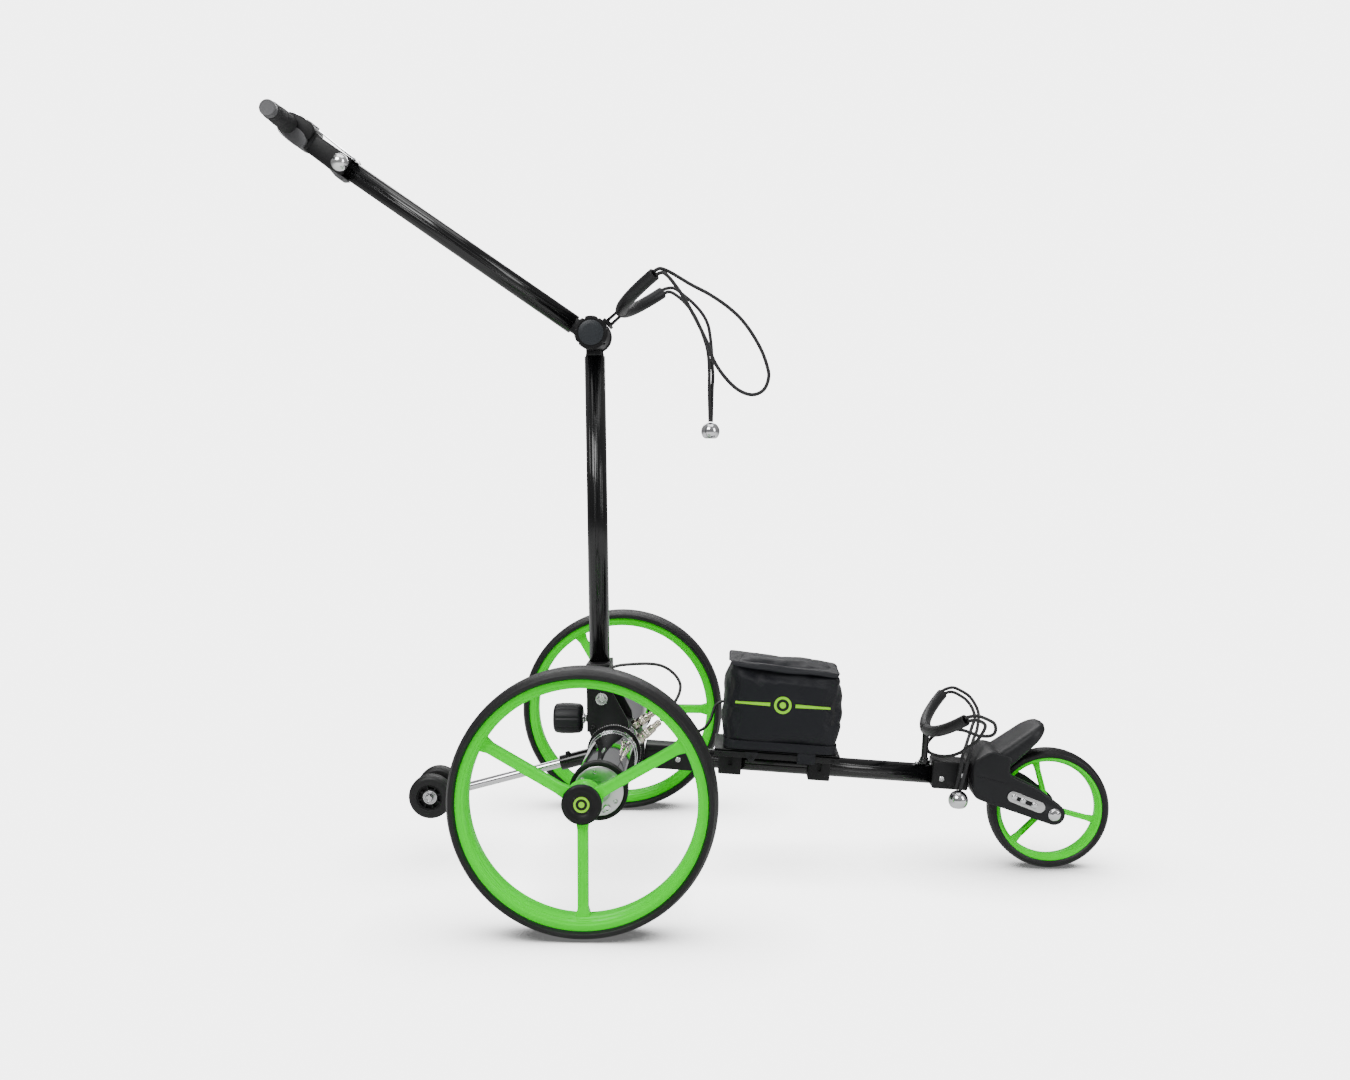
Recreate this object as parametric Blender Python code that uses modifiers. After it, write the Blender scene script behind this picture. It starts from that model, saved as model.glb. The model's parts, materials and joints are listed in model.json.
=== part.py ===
"""Electric three-wheeled golf trolley, unfolded, without a golf bag on it.

Metres, +Z up, +X the way it drives, so its right-hand side is -Y. Places along X are
measured from the rear axle: every part hangs on the empty "trolley", which stands
REAR_AXLE_X from the middle of the footprint, on the floor.
"""
import math

import bmesh
import bpy
from mathutils import Matrix, Vector

# Driving dimensions, in metres and degrees.
REAR_AXLE_X = -0.1155
TRACK = 0.5576
WHEELBASE = 0.5726
REAR_R = 0.150
REAR_HALF = 0.026
FRONT_R = 0.0774
FRONT_HALF = 0.01575
GAP = 0.0003

MOTOR_AXIS = (0.014, 0.1535)
MOTOR_R = 0.0305
HOUSING_R = 0.0345
HOUSING_HALF = 0.036
FLANGE_Y = (0.2348, 0.2475)

PIVOT = (-0.002, 0.2205)
POLE_R = 0.0132
POLE_LEAN = 0.725
POLE_OFFSET = -0.0052
JOINT_HEIGHT = 0.4646
HANDLE_RISE = 34.6
HANDLE_OFFSET = -0.0035
HANDLE_R = 0.0125
BAR_REACH = 0.4704
BAR_HALF = 0.100

TUBE_POINT = (0.4024, 0.1208)
TUBE_SLOPE = 3.6
TUBE_R = 0.0125

ANTITIP_POINT = (-0.0591, 0.1292)
ANTITIP_RISE = 15.0
ROD_R = 0.0056

CRADLE_HALF = 0.0925
UPPER_SLEEVE_R = 0.0080
LOWER_SLEEVE_R = 0.0072
CRADLE_ROD_R = 0.0040

UPPER_STRAP_R = 0.0023
LOWER_STRAP_R = 0.0022
CABLE_R = 0.0020
BALL_R = 0.0125

FACING_RIGHT = Matrix.Rotation(math.radians(90), 4, "X")
FACING_LEFT = Matrix.Rotation(math.radians(-90), 4, "X")
ALONG_X = Matrix.Rotation(math.radians(90), 4, "Y")
BACK_X = Matrix.Rotation(math.radians(-90), 4, "Y")
UPRIGHT = Matrix.Identity(4)


# ---------------------------------------------------------------- scene and helpers
for old in list(bpy.data.objects):
    bpy.data.objects.remove(old)

PARTS = bpy.data.collections.new("golf_trolley")
CUTTERS = bpy.data.collections.new("cutters")
for group in (PARTS, CUTTERS):
    bpy.context.scene.collection.children.link(group)


def material(name, colour, roughness, metallic=0.0):
    """A Principled material."""
    made = bpy.data.materials.new(name)
    made.use_nodes = True
    shader = made.node_tree.nodes["Principled BSDF"]
    shader.inputs["Base Color"].default_value = (*colour, 1.0)
    shader.inputs["Roughness"].default_value = roughness
    shader.inputs["Metallic"].default_value = metallic
    return made


BLACK_TUBE = material("black_anodised", (0.012, 0.012, 0.013), 0.3, 0.6)
BLACK_CAST = material("black_cast", (0.014, 0.014, 0.015), 0.4, 0.3)
BLACK_PLASTIC = material("black_plastic", (0.02, 0.02, 0.022), 0.5)
GREY_PLASTIC = material("grey_plastic", (0.16, 0.16, 0.17), 0.5)
RUBBER = material("black_rubber", (0.018, 0.018, 0.018), 0.7)
GREEN = material("green_rim", (0.10, 0.72, 0.02), 0.25)
CHROME = material("polished_chrome", (0.82, 0.82, 0.84), 0.08, 1.0)
STEEL = material("brushed_steel", (0.60, 0.60, 0.62), 0.25, 1.0)
CORD = material("black_cord", (0.015, 0.015, 0.016), 0.8)
FABRIC = material("black_nylon", (0.02, 0.02, 0.026), 0.8)


def empty(name, parent=None, location=(0, 0, 0), rotation=UPRIGHT):
    """A frame that other parts are placed in."""
    made = bpy.data.objects.new(name, None)
    PARTS.objects.link(made)
    made.parent = parent
    made.matrix_local = Matrix.Translation(location) @ rotation
    return made


def add(name, data, finish, parent, location=(0, 0, 0), rotation=UPRIGHT):
    """Link one named object with its material, placed in its parent's frame."""
    made = bpy.data.objects.new(name, data)
    PARTS.objects.link(made)
    made.parent = parent
    made.matrix_local = Matrix.Translation(location) @ rotation
    data.materials.append(finish)
    return made


def box(size):
    """A box about its own middle."""
    shape = bmesh.new()
    bmesh.ops.create_cube(shape, size=1.0, matrix=Matrix.Diagonal((*size, 1.0)))
    return to_mesh(shape)


def cylinder(radius, length, segments=24):
    """A cylinder along Z about its own middle."""
    shape = bmesh.new()
    bmesh.ops.create_cone(shape, cap_ends=True, segments=segments, radius1=radius,
                          radius2=radius, depth=length)
    return to_mesh(shape)


def to_mesh(shape):
    """A new mesh from a bmesh, smooth but for its sharp edges."""
    mesh = bpy.data.meshes.new("shape")
    shape.to_mesh(mesh)
    shape.free()
    mesh.shade_smooth()
    mesh.set_sharp_from_angle(angle=math.radians(35))
    return mesh


def turned(name, profile, finish, parent, location, rotation, steps=32):
    """A turned piece about its own Z: (radius, height) down the outer side.

    A profile whose ends lie off the axis is closed into a ring.
    """
    mesh = bpy.data.meshes.new(name)
    edges = [(i, i + 1) for i in range(len(profile) - 1)]
    if profile[0][0] > 0:
        edges.append((len(profile) - 1, 0))
    mesh.from_pydata([(r, 0, z) for r, z in profile], edges, [])
    made = add(name, mesh, finish, parent, location, rotation)
    screw = made.modifiers.new("turn", "SCREW")
    screw.steps = steps
    screw.render_steps = steps
    screw.use_merge_vertices = True
    screw.merge_threshold = 0.00001
    screw.use_smooth_shade = True
    return made


def prism(name, outlines, thickness, finish, parent, location=(0, 0, 0),
          rotation=UPRIGHT):
    """A flat outline in its own XY, with any holes, extruded both ways along Z."""
    flat = bpy.data.curves.new(name, "CURVE")
    flat.dimensions = "2D"
    flat.fill_mode = "BOTH"
    flat.extrude = thickness / 2
    for outline in outlines:
        spline = flat.splines.new("POLY")
        spline.points.add(len(outline) - 1)
        for point, (x, y) in zip(spline.points, outline):
            point.co = (x, y, 0, 1)
        spline.use_cyclic_u = True
    return as_solid(add(name, flat, finish, parent, location, rotation))


def rod(name, points, radius, finish, parent, location=(0, 0, 0), rotation=UPRIGHT,
        resolution=2, capped=True):
    """A round rod, tube surface or cord through the points."""
    wire = bpy.data.curves.new(name, "CURVE")
    wire.dimensions = "3D"
    wire.bevel_depth = radius
    wire.bevel_resolution = resolution
    wire.use_fill_caps = capped
    wire.resolution_u = 1
    spline = wire.splines.new("POLY")
    spline.points.add(len(points) - 1)
    for point, place in zip(spline.points, points):
        point.co = (*place, 1)
    return add(name, wire, finish, parent, location, rotation)


def as_solid(curve):
    """The same piece as a welded mesh, ready for Booleans and bevels."""
    bpy.context.view_layer.update()
    graph = bpy.context.evaluated_depsgraph_get()
    mesh = bpy.data.meshes.new_from_object(curve.evaluated_get(graph))
    shape = bmesh.new()
    shape.from_mesh(mesh)
    bmesh.ops.remove_doubles(shape, verts=shape.verts, dist=0.00001)
    bmesh.ops.recalc_face_normals(shape, faces=shape.faces)
    shape.to_mesh(mesh)
    shape.free()
    mesh.shade_smooth()
    mesh.set_sharp_from_angle(angle=math.radians(35))
    name = curve.name
    solid = bpy.data.objects.new("solid", mesh)
    PARTS.objects.link(solid)
    solid.parent = curve.parent
    solid.matrix_local = curve.matrix_local.copy()
    bpy.data.objects.remove(curve)
    solid.name = name
    return solid


def boolean(target, tool, operation):
    """Cut or join a tool, which moves to the cutters."""
    for home in list(tool.users_collection):
        home.objects.unlink(tool)
    CUTTERS.objects.link(tool)
    tool.name = target.name + "_tool"
    tool.hide_render = True
    tool.display_type = "WIRE"
    step = target.modifiers.new(operation.lower(), "BOOLEAN")
    step.operation = operation
    step.object = tool
    return target


def cut(target, tool):
    """Cut the tool from the target."""
    return boolean(target, tool, "DIFFERENCE")


def join(target, tool):
    """Join the tool to the target."""
    return boolean(target, tool, "UNION")


def tool(data, parent, location=(0, 0, 0), rotation=UPRIGHT):
    """A shape that will be cut from or joined to a part."""
    return add("tool", data, BLACK_CAST, parent, location, rotation)


def bevel(target, width, segments=1):
    """Round a solid's sharp edges."""
    edge = target.modifiers.new("edge", "BEVEL")
    edge.width = width
    edge.segments = segments
    edge.limit_method = "ANGLE"
    edge.angle_limit = math.radians(40)
    return target


def arc(centre, radius, start, stop, steps):
    """Points on an arc, with angles in degrees."""
    turn = [math.radians(start + (stop - start) * i / steps) for i in range(steps + 1)]
    return [(centre[0] + radius * math.cos(t), centre[1] + radius * math.sin(t))
            for t in turn]


def circle(radius, segments=24, centre=(0, 0)):
    """A round outline."""
    return arc(centre, radius, 0, 360, segments)[:-1]


def grooved(radius, groove=0.0016, depth=0.0011):
    """A round tube's outline with a shallow groove along each side."""
    half = math.degrees(math.asin(groove / radius))
    outline = []
    for side in (90, 270):
        outline += arc((0, 0), radius, side + half, side + 180 - half, 9)
        outline += arc((0, 0), radius - depth, side + 180 - half, side + 180 + half, 1)
    return outline


def smooth(route, spacing):
    """Evenly spaced points on the smooth curve through a route's own points."""
    ends = [2 * Vector(route[0]) - Vector(route[1])]
    ends += [Vector(p) for p in route]
    ends.append(2 * Vector(route[-1]) - Vector(route[-2]))
    fine = []
    for a, b, c, d in zip(ends, ends[1:], ends[2:], ends[3:]):
        for i in range(24):
            t = i / 24
            fine.append(0.5 * (2 * b + (c - a) * t + (2 * a - 5 * b + 4 * c - d) * t ** 2
                               + (3 * b - a - 3 * c + d) * t ** 3))
    fine.append(Vector(route[-1]))
    reach = [0.0]
    for a, b in zip(fine, fine[1:]):
        reach.append(reach[-1] + (b - a).length)
    count = max(2, round(reach[-1] / spacing))
    even = []
    i = 0
    for k in range(count + 1):
        goal = reach[-1] * k / count
        while i < len(fine) - 2 and reach[i + 1] < goal:
            i += 1
        share = (goal - reach[i]) / (reach[i + 1] - reach[i])
        even.append(fine[i].lerp(fine[i + 1], min(max(share, 0.0), 1.0)))
    return even


# ---------------------------------------------------------------- frames
TROLLEY = empty("trolley", None, (REAR_AXLE_X, 0, 0))
TUBE_LINE = empty("tube_line", TROLLEY, (TUBE_POINT[0], 0, TUBE_POINT[1]),
                  Matrix.Rotation(math.radians(TUBE_SLOPE), 4, "Y"))
POLE_LINE = empty("pole_fold_axis", TROLLEY, (PIVOT[0], 0, PIVOT[1]),
                  Matrix.Rotation(math.radians(-POLE_LEAN), 4, "Y"))
JOINT = empty("joint_axis", POLE_LINE, (POLE_OFFSET, 0, JOINT_HEIGHT),
              Matrix.Rotation(math.radians(POLE_LEAN), 4, "Y"))
HANDLE_LINE = empty("handle_fold_axis", JOINT, (0, 0, 0),
                    Matrix.Rotation(math.radians(180), 4, "Z")
                    @ Matrix.Rotation(math.radians(-HANDLE_RISE), 4, "Y"))
ANTITIP_LINE = empty("antitip_line", TROLLEY, (ANTITIP_POINT[0], 0, ANTITIP_POINT[1]),
                     Matrix.Rotation(math.radians(-ANTITIP_RISE), 4, "Y"))
MOTOR_LINE = empty("motor_line", TROLLEY, (MOTOR_AXIS[0], 0, MOTOR_AXIS[1]))


# ---------------------------------------------------------------- wheels
def tyre_profile(outer, half, lip, lip_half):
    """A tyre's section: crowned tread outside, a bead that sits between the rim's lips."""
    seat = lip - 0.0062
    clear = 0.0004
    return [(lip + 0.0018, half), (outer, 0.58 * half), (outer, -0.58 * half),
            (lip + 0.0018, -half), (lip + clear, -lip_half + 0.0035),
            (seat + clear, -lip_half + 0.0055), (seat + clear, lip_half - 0.0055),
            (lip + clear, lip_half - 0.0035)]


def rim_profile(lip, lip_half, inner):
    """A rim's section: a lip each side of the tyre's seat, smooth inside."""
    seat = lip - 0.0062
    return [(lip, lip_half), (lip, lip_half - 0.003), (seat, lip_half - 0.005),
            (seat, -lip_half + 0.005), (lip, -lip_half + 0.003), (lip, -lip_half),
            (inner, -lip_half), (inner, lip_half)]


def spoked_rim(name, lip, lip_half, inner, spoke, hub, phase, parent, rotation, steps):
    """A rim ring with three flat spokes and a hub, as one moulding."""
    rim = turned(name, rim_profile(lip, lip_half, inner), GREEN, parent, (0, 0, 0),
                 rotation, steps)
    width, depth = spoke
    for k in range(3):
        turn = Matrix.Rotation(math.radians(phase + 120 * k), 4, "Z")
        reach = inner + 0.002
        join(rim, tool(box((reach, width, depth)), parent, (0, 0, 0),
                       rotation @ turn @ Matrix.Translation((reach / 2, 0, 0))))
    radius, low, high = hub
    middle = Matrix.Translation((0, 0, (low + high) / 2))
    join(rim, tool(cylinder(radius, high - low), parent, (0, 0, 0), rotation @ middle))
    return rim


def rear_wheel(side, sign, rotation, phase):
    """A driven wheel: tyre, rim with its stub axle and hub cap, outward along its Z."""
    hub = empty("rear_axle_" + side, TROLLEY, (0, sign * TRACK / 2, REAR_R))
    turned("rear_tyre_" + side, tyre_profile(REAR_R, REAR_HALF, 0.1412, 0.0195), RUBBER,
           hub, (0, 0, 0), rotation, 44)
    rim = spoked_rim("rear_rim_" + side, 0.1412, 0.0195, 0.1270, (0.0115, 0.014),
                     (0.021, -0.0185, 0.0115), phase, hub, rotation, 44)
    stub = Matrix.Translation((0, 0, -0.0270))
    join(rim, tool(cylinder(0.006, 0.0230, 16), hub, (0, 0, 0), rotation @ stub))
    cap = [(0, 0.0165), (0.0195, 0.0165), (0.0225, 0.0145), (0.0225, 0.0118),
           (0, 0.0118)]
    turned("hub_cap_" + side, cap, BLACK_PLASTIC, hub, (0, 0, 0), rotation, 28)


def front_wheel():
    """The small front wheel on its through axle."""
    hub = empty("front_axle_line", TROLLEY, (WHEELBASE, 0, FRONT_R))
    turned("front_tyre", tyre_profile(FRONT_R, FRONT_HALF, 0.0691, 0.0125), RUBBER, hub,
           (0, 0, 0), FACING_RIGHT, 36)
    rim = spoked_rim("front_rim", 0.0691, 0.0125, 0.0602, (0.0065, 0.009),
                     (0.011, -0.0135, 0.0135), -15, hub, FACING_RIGHT, 36)
    cut(rim, tool(cylinder(0.0043, 0.2, 16), hub, (0, 0, 0), FACING_RIGHT))
    axle = [(0, 0.0455), (0.0070, 0.0455), (0.0085, 0.0440), (0.0085, 0.0408),
            (0.0040, 0.0408)]
    axle += [(r, -z) for r, z in reversed(axle)]
    turned("front_axle", axle, CHROME, hub, (0, 0, 0), FACING_RIGHT, 16)


rear_wheel("right", -1, FACING_RIGHT, 30)
rear_wheel("left", 1, FACING_LEFT, 0)
front_wheel()


# ---------------------------------------------------------------- drive unit
def axle_housing():
    """The cast housing between the motors, with the pole's hinge plates on it."""
    housing = add("axle_housing", cylinder(HOUSING_R, 2 * HOUSING_HALF, 40), BLACK_CAST,
                  MOTOR_LINE, (0, 0, 0), FACING_RIGHT)
    plate = [(-0.0213, 0.190), (-0.0185, 0.178), (-0.0140, 0.166), (0.0310, 0.166),
             (0.0325, 0.184), (0.0317, 0.1923), (0.0113, 0.2296)]
    plate += arc((-0.0060, 0.2310), 0.0153, 10, 175, 7)
    for side in (-1, 1):
        cheek = prism("tool", [plate], 0.005, BLACK_CAST, TROLLEY,
                      (0, side * (HOUSING_HALF - 0.0027), 0), FACING_RIGHT)
        join(housing, cheek)
    join(housing, tool(box((0.0063, 0.066, 0.023)), TROLLEY, (-0.01815, 0, 0.1885)))
    join(housing, tool(box((0.020, 0.032, 0.030)), TROLLEY, (0.0400, 0, 0.1435)))
    for side in (-1, 1):
        cut(housing, tool(cylinder(MOTOR_R + GAP, 0.030, 32), MOTOR_LINE,
                          (0, side * 0.027, 0), FACING_RIGHT))
    cut(housing, tool(cylinder(0.0043, 0.1, 16), POLE_LINE, (0, 0, 0), FACING_RIGHT))
    cut(housing, tool(cylinder(0.0044, 0.03, 16), TROLLEY, (-0.020, 0, 0.1886), ALONG_X))


def motor(side, sign, rotation):
    """One tube motor: polished tube, motor inside it and gearbox flange at its end."""
    tube = [(MOTOR_R, 0.2345), (MOTOR_R, 0.0125), (MOTOR_R - 0.002, 0.0125),
            (MOTOR_R - 0.002, 0.2345)]
    turned("motor_tube_" + side, tube, CHROME, MOTOR_LINE, (0, 0, 0), rotation, 28)
    core = [(0, 0.218), (0.010, 0.218), (0.010, 0.205), (0.028, 0.205), (0.028, 0.035),
            (0.012, 0.035), (0.012, 0.020), (0, 0.020)]
    turned("drive_motor_" + side, core, STEEL, MOTOR_LINE, (0, 0, 0), rotation, 16)
    inner, outer = FLANGE_Y
    flange = [(0, outer), (0.0300, outer), (0.0335, outer - 0.0015), (0.0335, inner),
              (0.0282, inner), (0.0282, inner - 0.010), (0, inner - 0.010)]
    made = turned("gearbox_flange_" + side, flange, STEEL, MOTOR_LINE, (0, 0, 0),
                  rotation, 24)
    cut(made, tool(cylinder(0.0063, 0.030, 16), TROLLEY,
                   (0, sign * (outer - 0.0085 + 0.015), REAR_R), rotation))


axle_housing()
motor("right", -1, FACING_RIGHT)
motor("left", 1, FACING_LEFT)


def base_knob():
    """The barrel knob that locks the pole, on its stud behind the hinge plates."""
    line = empty("base_knob_axis", TROLLEY, (-0.0213, 0, 0.1886), BACK_X)
    barrel = [(0, 0.0467), (0.0165, 0.0467), (0.0192, 0.0435), (0.0199, 0.0290),
              (0.0190, 0.0120), (0.0165, 0.0087), (0.0070, 0.0087), (0.0060, 0.0030),
              (0.0040, 0.0030), (0.0040, -0.0060), (0, -0.0060)]
    turned("base_knob", barrel, BLACK_PLASTIC, line, (0, 0, 0), UPRIGHT, 18)


def connector(name, start, stop):
    """A round screw connector with a cable gland, from its flange to its cable end."""
    reach = Vector(stop) - Vector(start)
    aim = Matrix.Rotation(math.atan2(reach.x, reach.z), 4, "Y")
    length = reach.length
    body = [(0, length), (0.0032, length), (0.0042, length - 0.0080),
            (0.0058, length - 0.0085), (0.0058, 0.0130), (0.0050, 0.0125),
            (0.0050, 0.0085), (0.0070, 0.0080), (0.0070, 0), (0, 0)]
    turned(name, body, STEEL, TROLLEY, start, aim, 12)


base_knob()
connector("connector_lower", (0.0472, -0.0500, 0.1716), (0.0734, -0.0500, 0.1948))
connector("connector_upper", (0.0384, -0.0270, 0.1840), (0.0658, -0.0270, 0.2028))


# ---------------------------------------------------------------- anti-tip wheels
def antitip():
    """The anti-tip arm: a sleeve on the housing, a steel rod in it, two small wheels."""
    sleeve = turned("antitip_sleeve",
                    [(0.0096, 0.060), (0.0096, 0), (ROD_R + GAP, 0),
                     (ROD_R + GAP, 0.060)],
                    BLACK_TUBE, ANTITIP_LINE, (0, 0, 0), ALONG_X, 18)
    cut(sleeve, tool(cylinder(HOUSING_R + GAP, 0.1, 40), MOTOR_LINE, (0, 0, 0),
                     FACING_RIGHT))
    length = 0.2071
    arm = add("antitip_rod", cylinder(ROD_R, length, 16), STEEL, ANTITIP_LINE,
              (0.036 - length / 2, 0, 0), ALONG_X)
    join(arm, tool(box((0.018, 0.013, 0.022)), ANTITIP_LINE, (-0.1711, 0, 0.0030)))
    axle = [(0, 0.0405), (0.0050, 0.0405), (0.0060, 0.0395), (0.0060, 0.0375),
            (0.0040, 0.0375)]
    axle += [(r, -z) for r, z in reversed(axle)]
    axle_place = (-0.1711, 0, 0.0051)
    join(arm, turned("tool", axle, STEEL, ANTITIP_LINE, axle_place, FACING_RIGHT, 16))
    half = [(0.0043, 0.0115), (0.0262, 0.0105), (0.0285, 0.0050)]
    wheel = half + [(r, -z) for r, z in reversed(half)]
    for side, sign in (("right", -1), ("left", 1)):
        hub = empty("antitip_axis_" + side, ANTITIP_LINE,
                    (axle_place[0], sign * 0.0247, axle_place[2]))
        turned("antitip_wheel_" + side, wheel, RUBBER, hub, (0, 0, 0), FACING_RIGHT, 18)


antitip()


# ---------------------------------------------------------------- main tube
def along_tube(name, start, stop, low, high, half, finish, rounding=0.0015):
    """A block on the main tube, from start to stop along it, low to high across it."""
    block = add(name, box((stop - start, 2 * half, high - low)), finish, TUBE_LINE,
                ((start + stop) / 2, 0, (low + high) / 2))
    return bevel(block, rounding)


def tube_bore(block, start, stop):
    """Make room for the main tube in a block."""
    cut(block, tool(cylinder(TUBE_R + GAP, stop - start, 24), TUBE_LINE,
                    ((start + stop) / 2, 0, 0), ALONG_X))


def main_tube():
    """The main tube, the receiver behind it and the socket in front."""
    start, stop = -0.3430, 0.0380
    prism("main_tube", [grooved(TUBE_R), circle(TUBE_R - 0.0020)], stop - start,
          BLACK_TUBE, TUBE_LINE, ((start + stop) / 2, 0, 0), ALONG_X)
    receiver = along_tube("tube_receiver", -0.3518, -0.2750, -0.0155, 0.0155, 0.016,
                          BLACK_CAST)
    tube_bore(receiver, -0.3440, -0.2700)
    socket = along_tube("front_socket", 0.0196, 0.0655, -0.0148, 0.0207, 0.020,
                        BLACK_CAST)
    tube_bore(socket, 0.0100, 0.0400)


def battery_mount():
    """The battery tray, the two clamps under it, the cell case and its nylon bag."""
    for name, start, stop in (("tray_clamp_rear", -0.2556, -0.2259),
                              ("tray_clamp_front", -0.1399, -0.1115)):
        clamp = along_tube(name, start, stop, -0.0158, 0.0202, 0.0185, BLACK_PLASTIC)
        tube_bore(clamp, start - 0.01, stop + 0.01)
    tray = along_tube("battery_tray", -0.2618, -0.1024, 0.0130, 0.0235, 0.046,
                      BLACK_CAST, 0.001)
    cut(tray, tool(box((0.1700, 0.0860, 0.0100)), TUBE_LINE, (-0.1821, 0, 0.0155)))
    along_tube("battery_case", -0.2465, -0.1125, 0.0241, 0.1180, 0.0435, BLACK_PLASTIC,
               0.003)
    battery_bag()


def battery_bag():
    """The bag over the cells: a soft shell, open below, lower in front than behind."""
    back, front, low = -0.2520, -0.1070, 0.0238
    shape = bmesh.new()
    bmesh.ops.create_cube(shape, size=1.0)
    for corner in shape.verts:
        rearward = corner.co.x < 0
        upper = corner.co.z > 0
        top = 0.1375 if rearward else 0.1300
        corner.co.x = back + 0.004 * upper if rearward else front
        corner.co.y *= 0.100
        corner.co.z = top if upper else low
    under = [face for face in shape.faces if face.normal.z < -0.9]
    bmesh.ops.delete(shape, geom=under, context="FACES_ONLY")
    bag = add("battery_bag", to_mesh(shape), FABRIC, TUBE_LINE)
    rounded = bevel(bag, 0.006, 2)
    shell = rounded.modifiers.new("cloth", "SOLIDIFY")
    shell.thickness = 0.0022
    shell.offset = -1


main_tube()
battery_mount()


# ---------------------------------------------------------------- bag cradles
def cradle_arc(advance, start, stop, steps):
    """Points on a cradle's arc in its own XY: X forward, Y across."""
    radius = (CRADLE_HALF ** 2 + advance ** 2) / (2 * advance)
    widest = math.degrees(math.asin(CRADLE_HALF / radius))
    points = []
    for i in range(steps + 1):
        turn = math.radians(widest * (start + (stop - start) * i / steps))
        points.append((radius * (1 - math.cos(turn)), radius * math.sin(turn), 0))
    return points


def sleeves(prefix, advance, radius, line):
    """The rubber sleeves on a cradle's two arms, open at their ends."""
    for side, sign in (("right", -1), ("left", 1)):
        points = cradle_arc(advance, sign * 0.05, sign, 6)
        tube = rod(prefix + "_sleeve_" + side, points, radius, RUBBER, line,
                   resolution=3, capped=False)
        tube = as_solid(tube)
        wall = tube.modifiers.new("wall", "SOLIDIFY")
        wall.thickness = radius - CRADLE_ROD_R - 0.0007
        wall.offset = -1


def lower_cradle():
    """The lower bag cradle: a post on the main tube and a bent rod in sleeves."""
    advance = 0.0454
    line = empty("lower_cradle_line", TROLLEY, (0.4160, 0, 0.1785),
                 Matrix.Rotation(math.radians(-40.5), 4, "Y"))
    bent = rod("lower_bag_cradle", cradle_arc(advance, -0.93, 0.93, 16), CRADLE_ROD_R,
               BLACK_TUBE, line)
    bent = as_solid(bent)
    foot = Vector((0.4134, 0, 0.1332))
    top = Vector((0.4160, 0, 0.1770))
    middle = (foot + top) / 2
    lean = Matrix.Rotation(math.atan2(top.x - foot.x, top.z - foot.z), 4, "Y")
    join(bent, tool(cylinder(0.0043, (top - foot).length, 16), TROLLEY, middle, lean))
    join(bent, tool(cylinder(0.0072, 0.0035, 16), TROLLEY,
                    foot + Vector((0, 0, 0.0018)), lean))
    sleeves("lower", advance, LOWER_SLEEVE_R, line)


def upper_cradle():
    """The upper bag cradle: a slotted stem on the pole's clevis and a bent rod."""
    advance = 0.0580
    rise = Matrix.Rotation(math.radians(-36.1), 4, "Y")
    line = empty("upper_cradle_line", JOINT, (0.0354, 0, 0.0314), rise)
    bent = rod("upper_bag_cradle", cradle_arc(advance, -0.93, 0.93, 16), CRADLE_ROD_R,
               BLACK_TUBE, line)
    bent = as_solid(bent)
    inner, outer = 0.0209, 0.0485
    stem = [(inner, -0.0050), (outer, -0.0050), (outer, 0.0050), (inner, 0.0050)]
    slot = [(0.0265, -0.0016), (0.0430, -0.0016), (0.0430, 0.0016), (0.0265, 0.0016)]
    aim = Matrix.Rotation(math.radians(-41.4), 4, "Y")
    join(bent, prism("tool", [stem, slot], 0.008, BLACK_TUBE, JOINT, (0, 0, 0),
                     aim @ FACING_RIGHT))
    join(bent, tool(box((0.0045, 0.040, 0.012)), JOINT, (0, 0, 0),
                    aim @ Matrix.Translation((inner + 0.0022, 0, 0))))
    sleeves("upper", advance, UPPER_SLEEVE_R, line)


lower_cradle()
upper_cradle()


# ---------------------------------------------------------------- front yoke
def front_yoke():
    """The front moulding: fork arms, crown and the rest for the bag's foot."""
    axle = (WHEELBASE, FRONT_R)
    outline = [(0.4700, 0.1440)]
    outline += arc((0.5535, 0.1905), 0.0132, 135, -42, 8)
    outline += [(0.5305, 0.1460), (0.5165, 0.1405), (0.5165, 0.1275), (0.5523, 0.1106)]
    outline += arc(axle, 0.0138, 62, -112, 8)
    outline += [(0.4839, 0.0929), (0.4745, 0.0965), (0.4700, 0.1026)]
    yoke = prism("front_yoke", [outline], 0.081, BLACK_PLASTIC, TROLLEY, (0, 0, 0),
                 FACING_RIGHT)
    bevel(yoke, 0.002)
    cut(yoke, tool(cylinder(FRONT_R + 0.004, 0.052, 40), TROLLEY, (axle[0], 0, axle[1]),
                   FACING_RIGHT))
    cut(yoke, tool(cylinder(0.0043, 0.1, 16), TROLLEY, (axle[0], 0, axle[1]),
                   FACING_RIGHT))


front_yoke()


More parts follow.
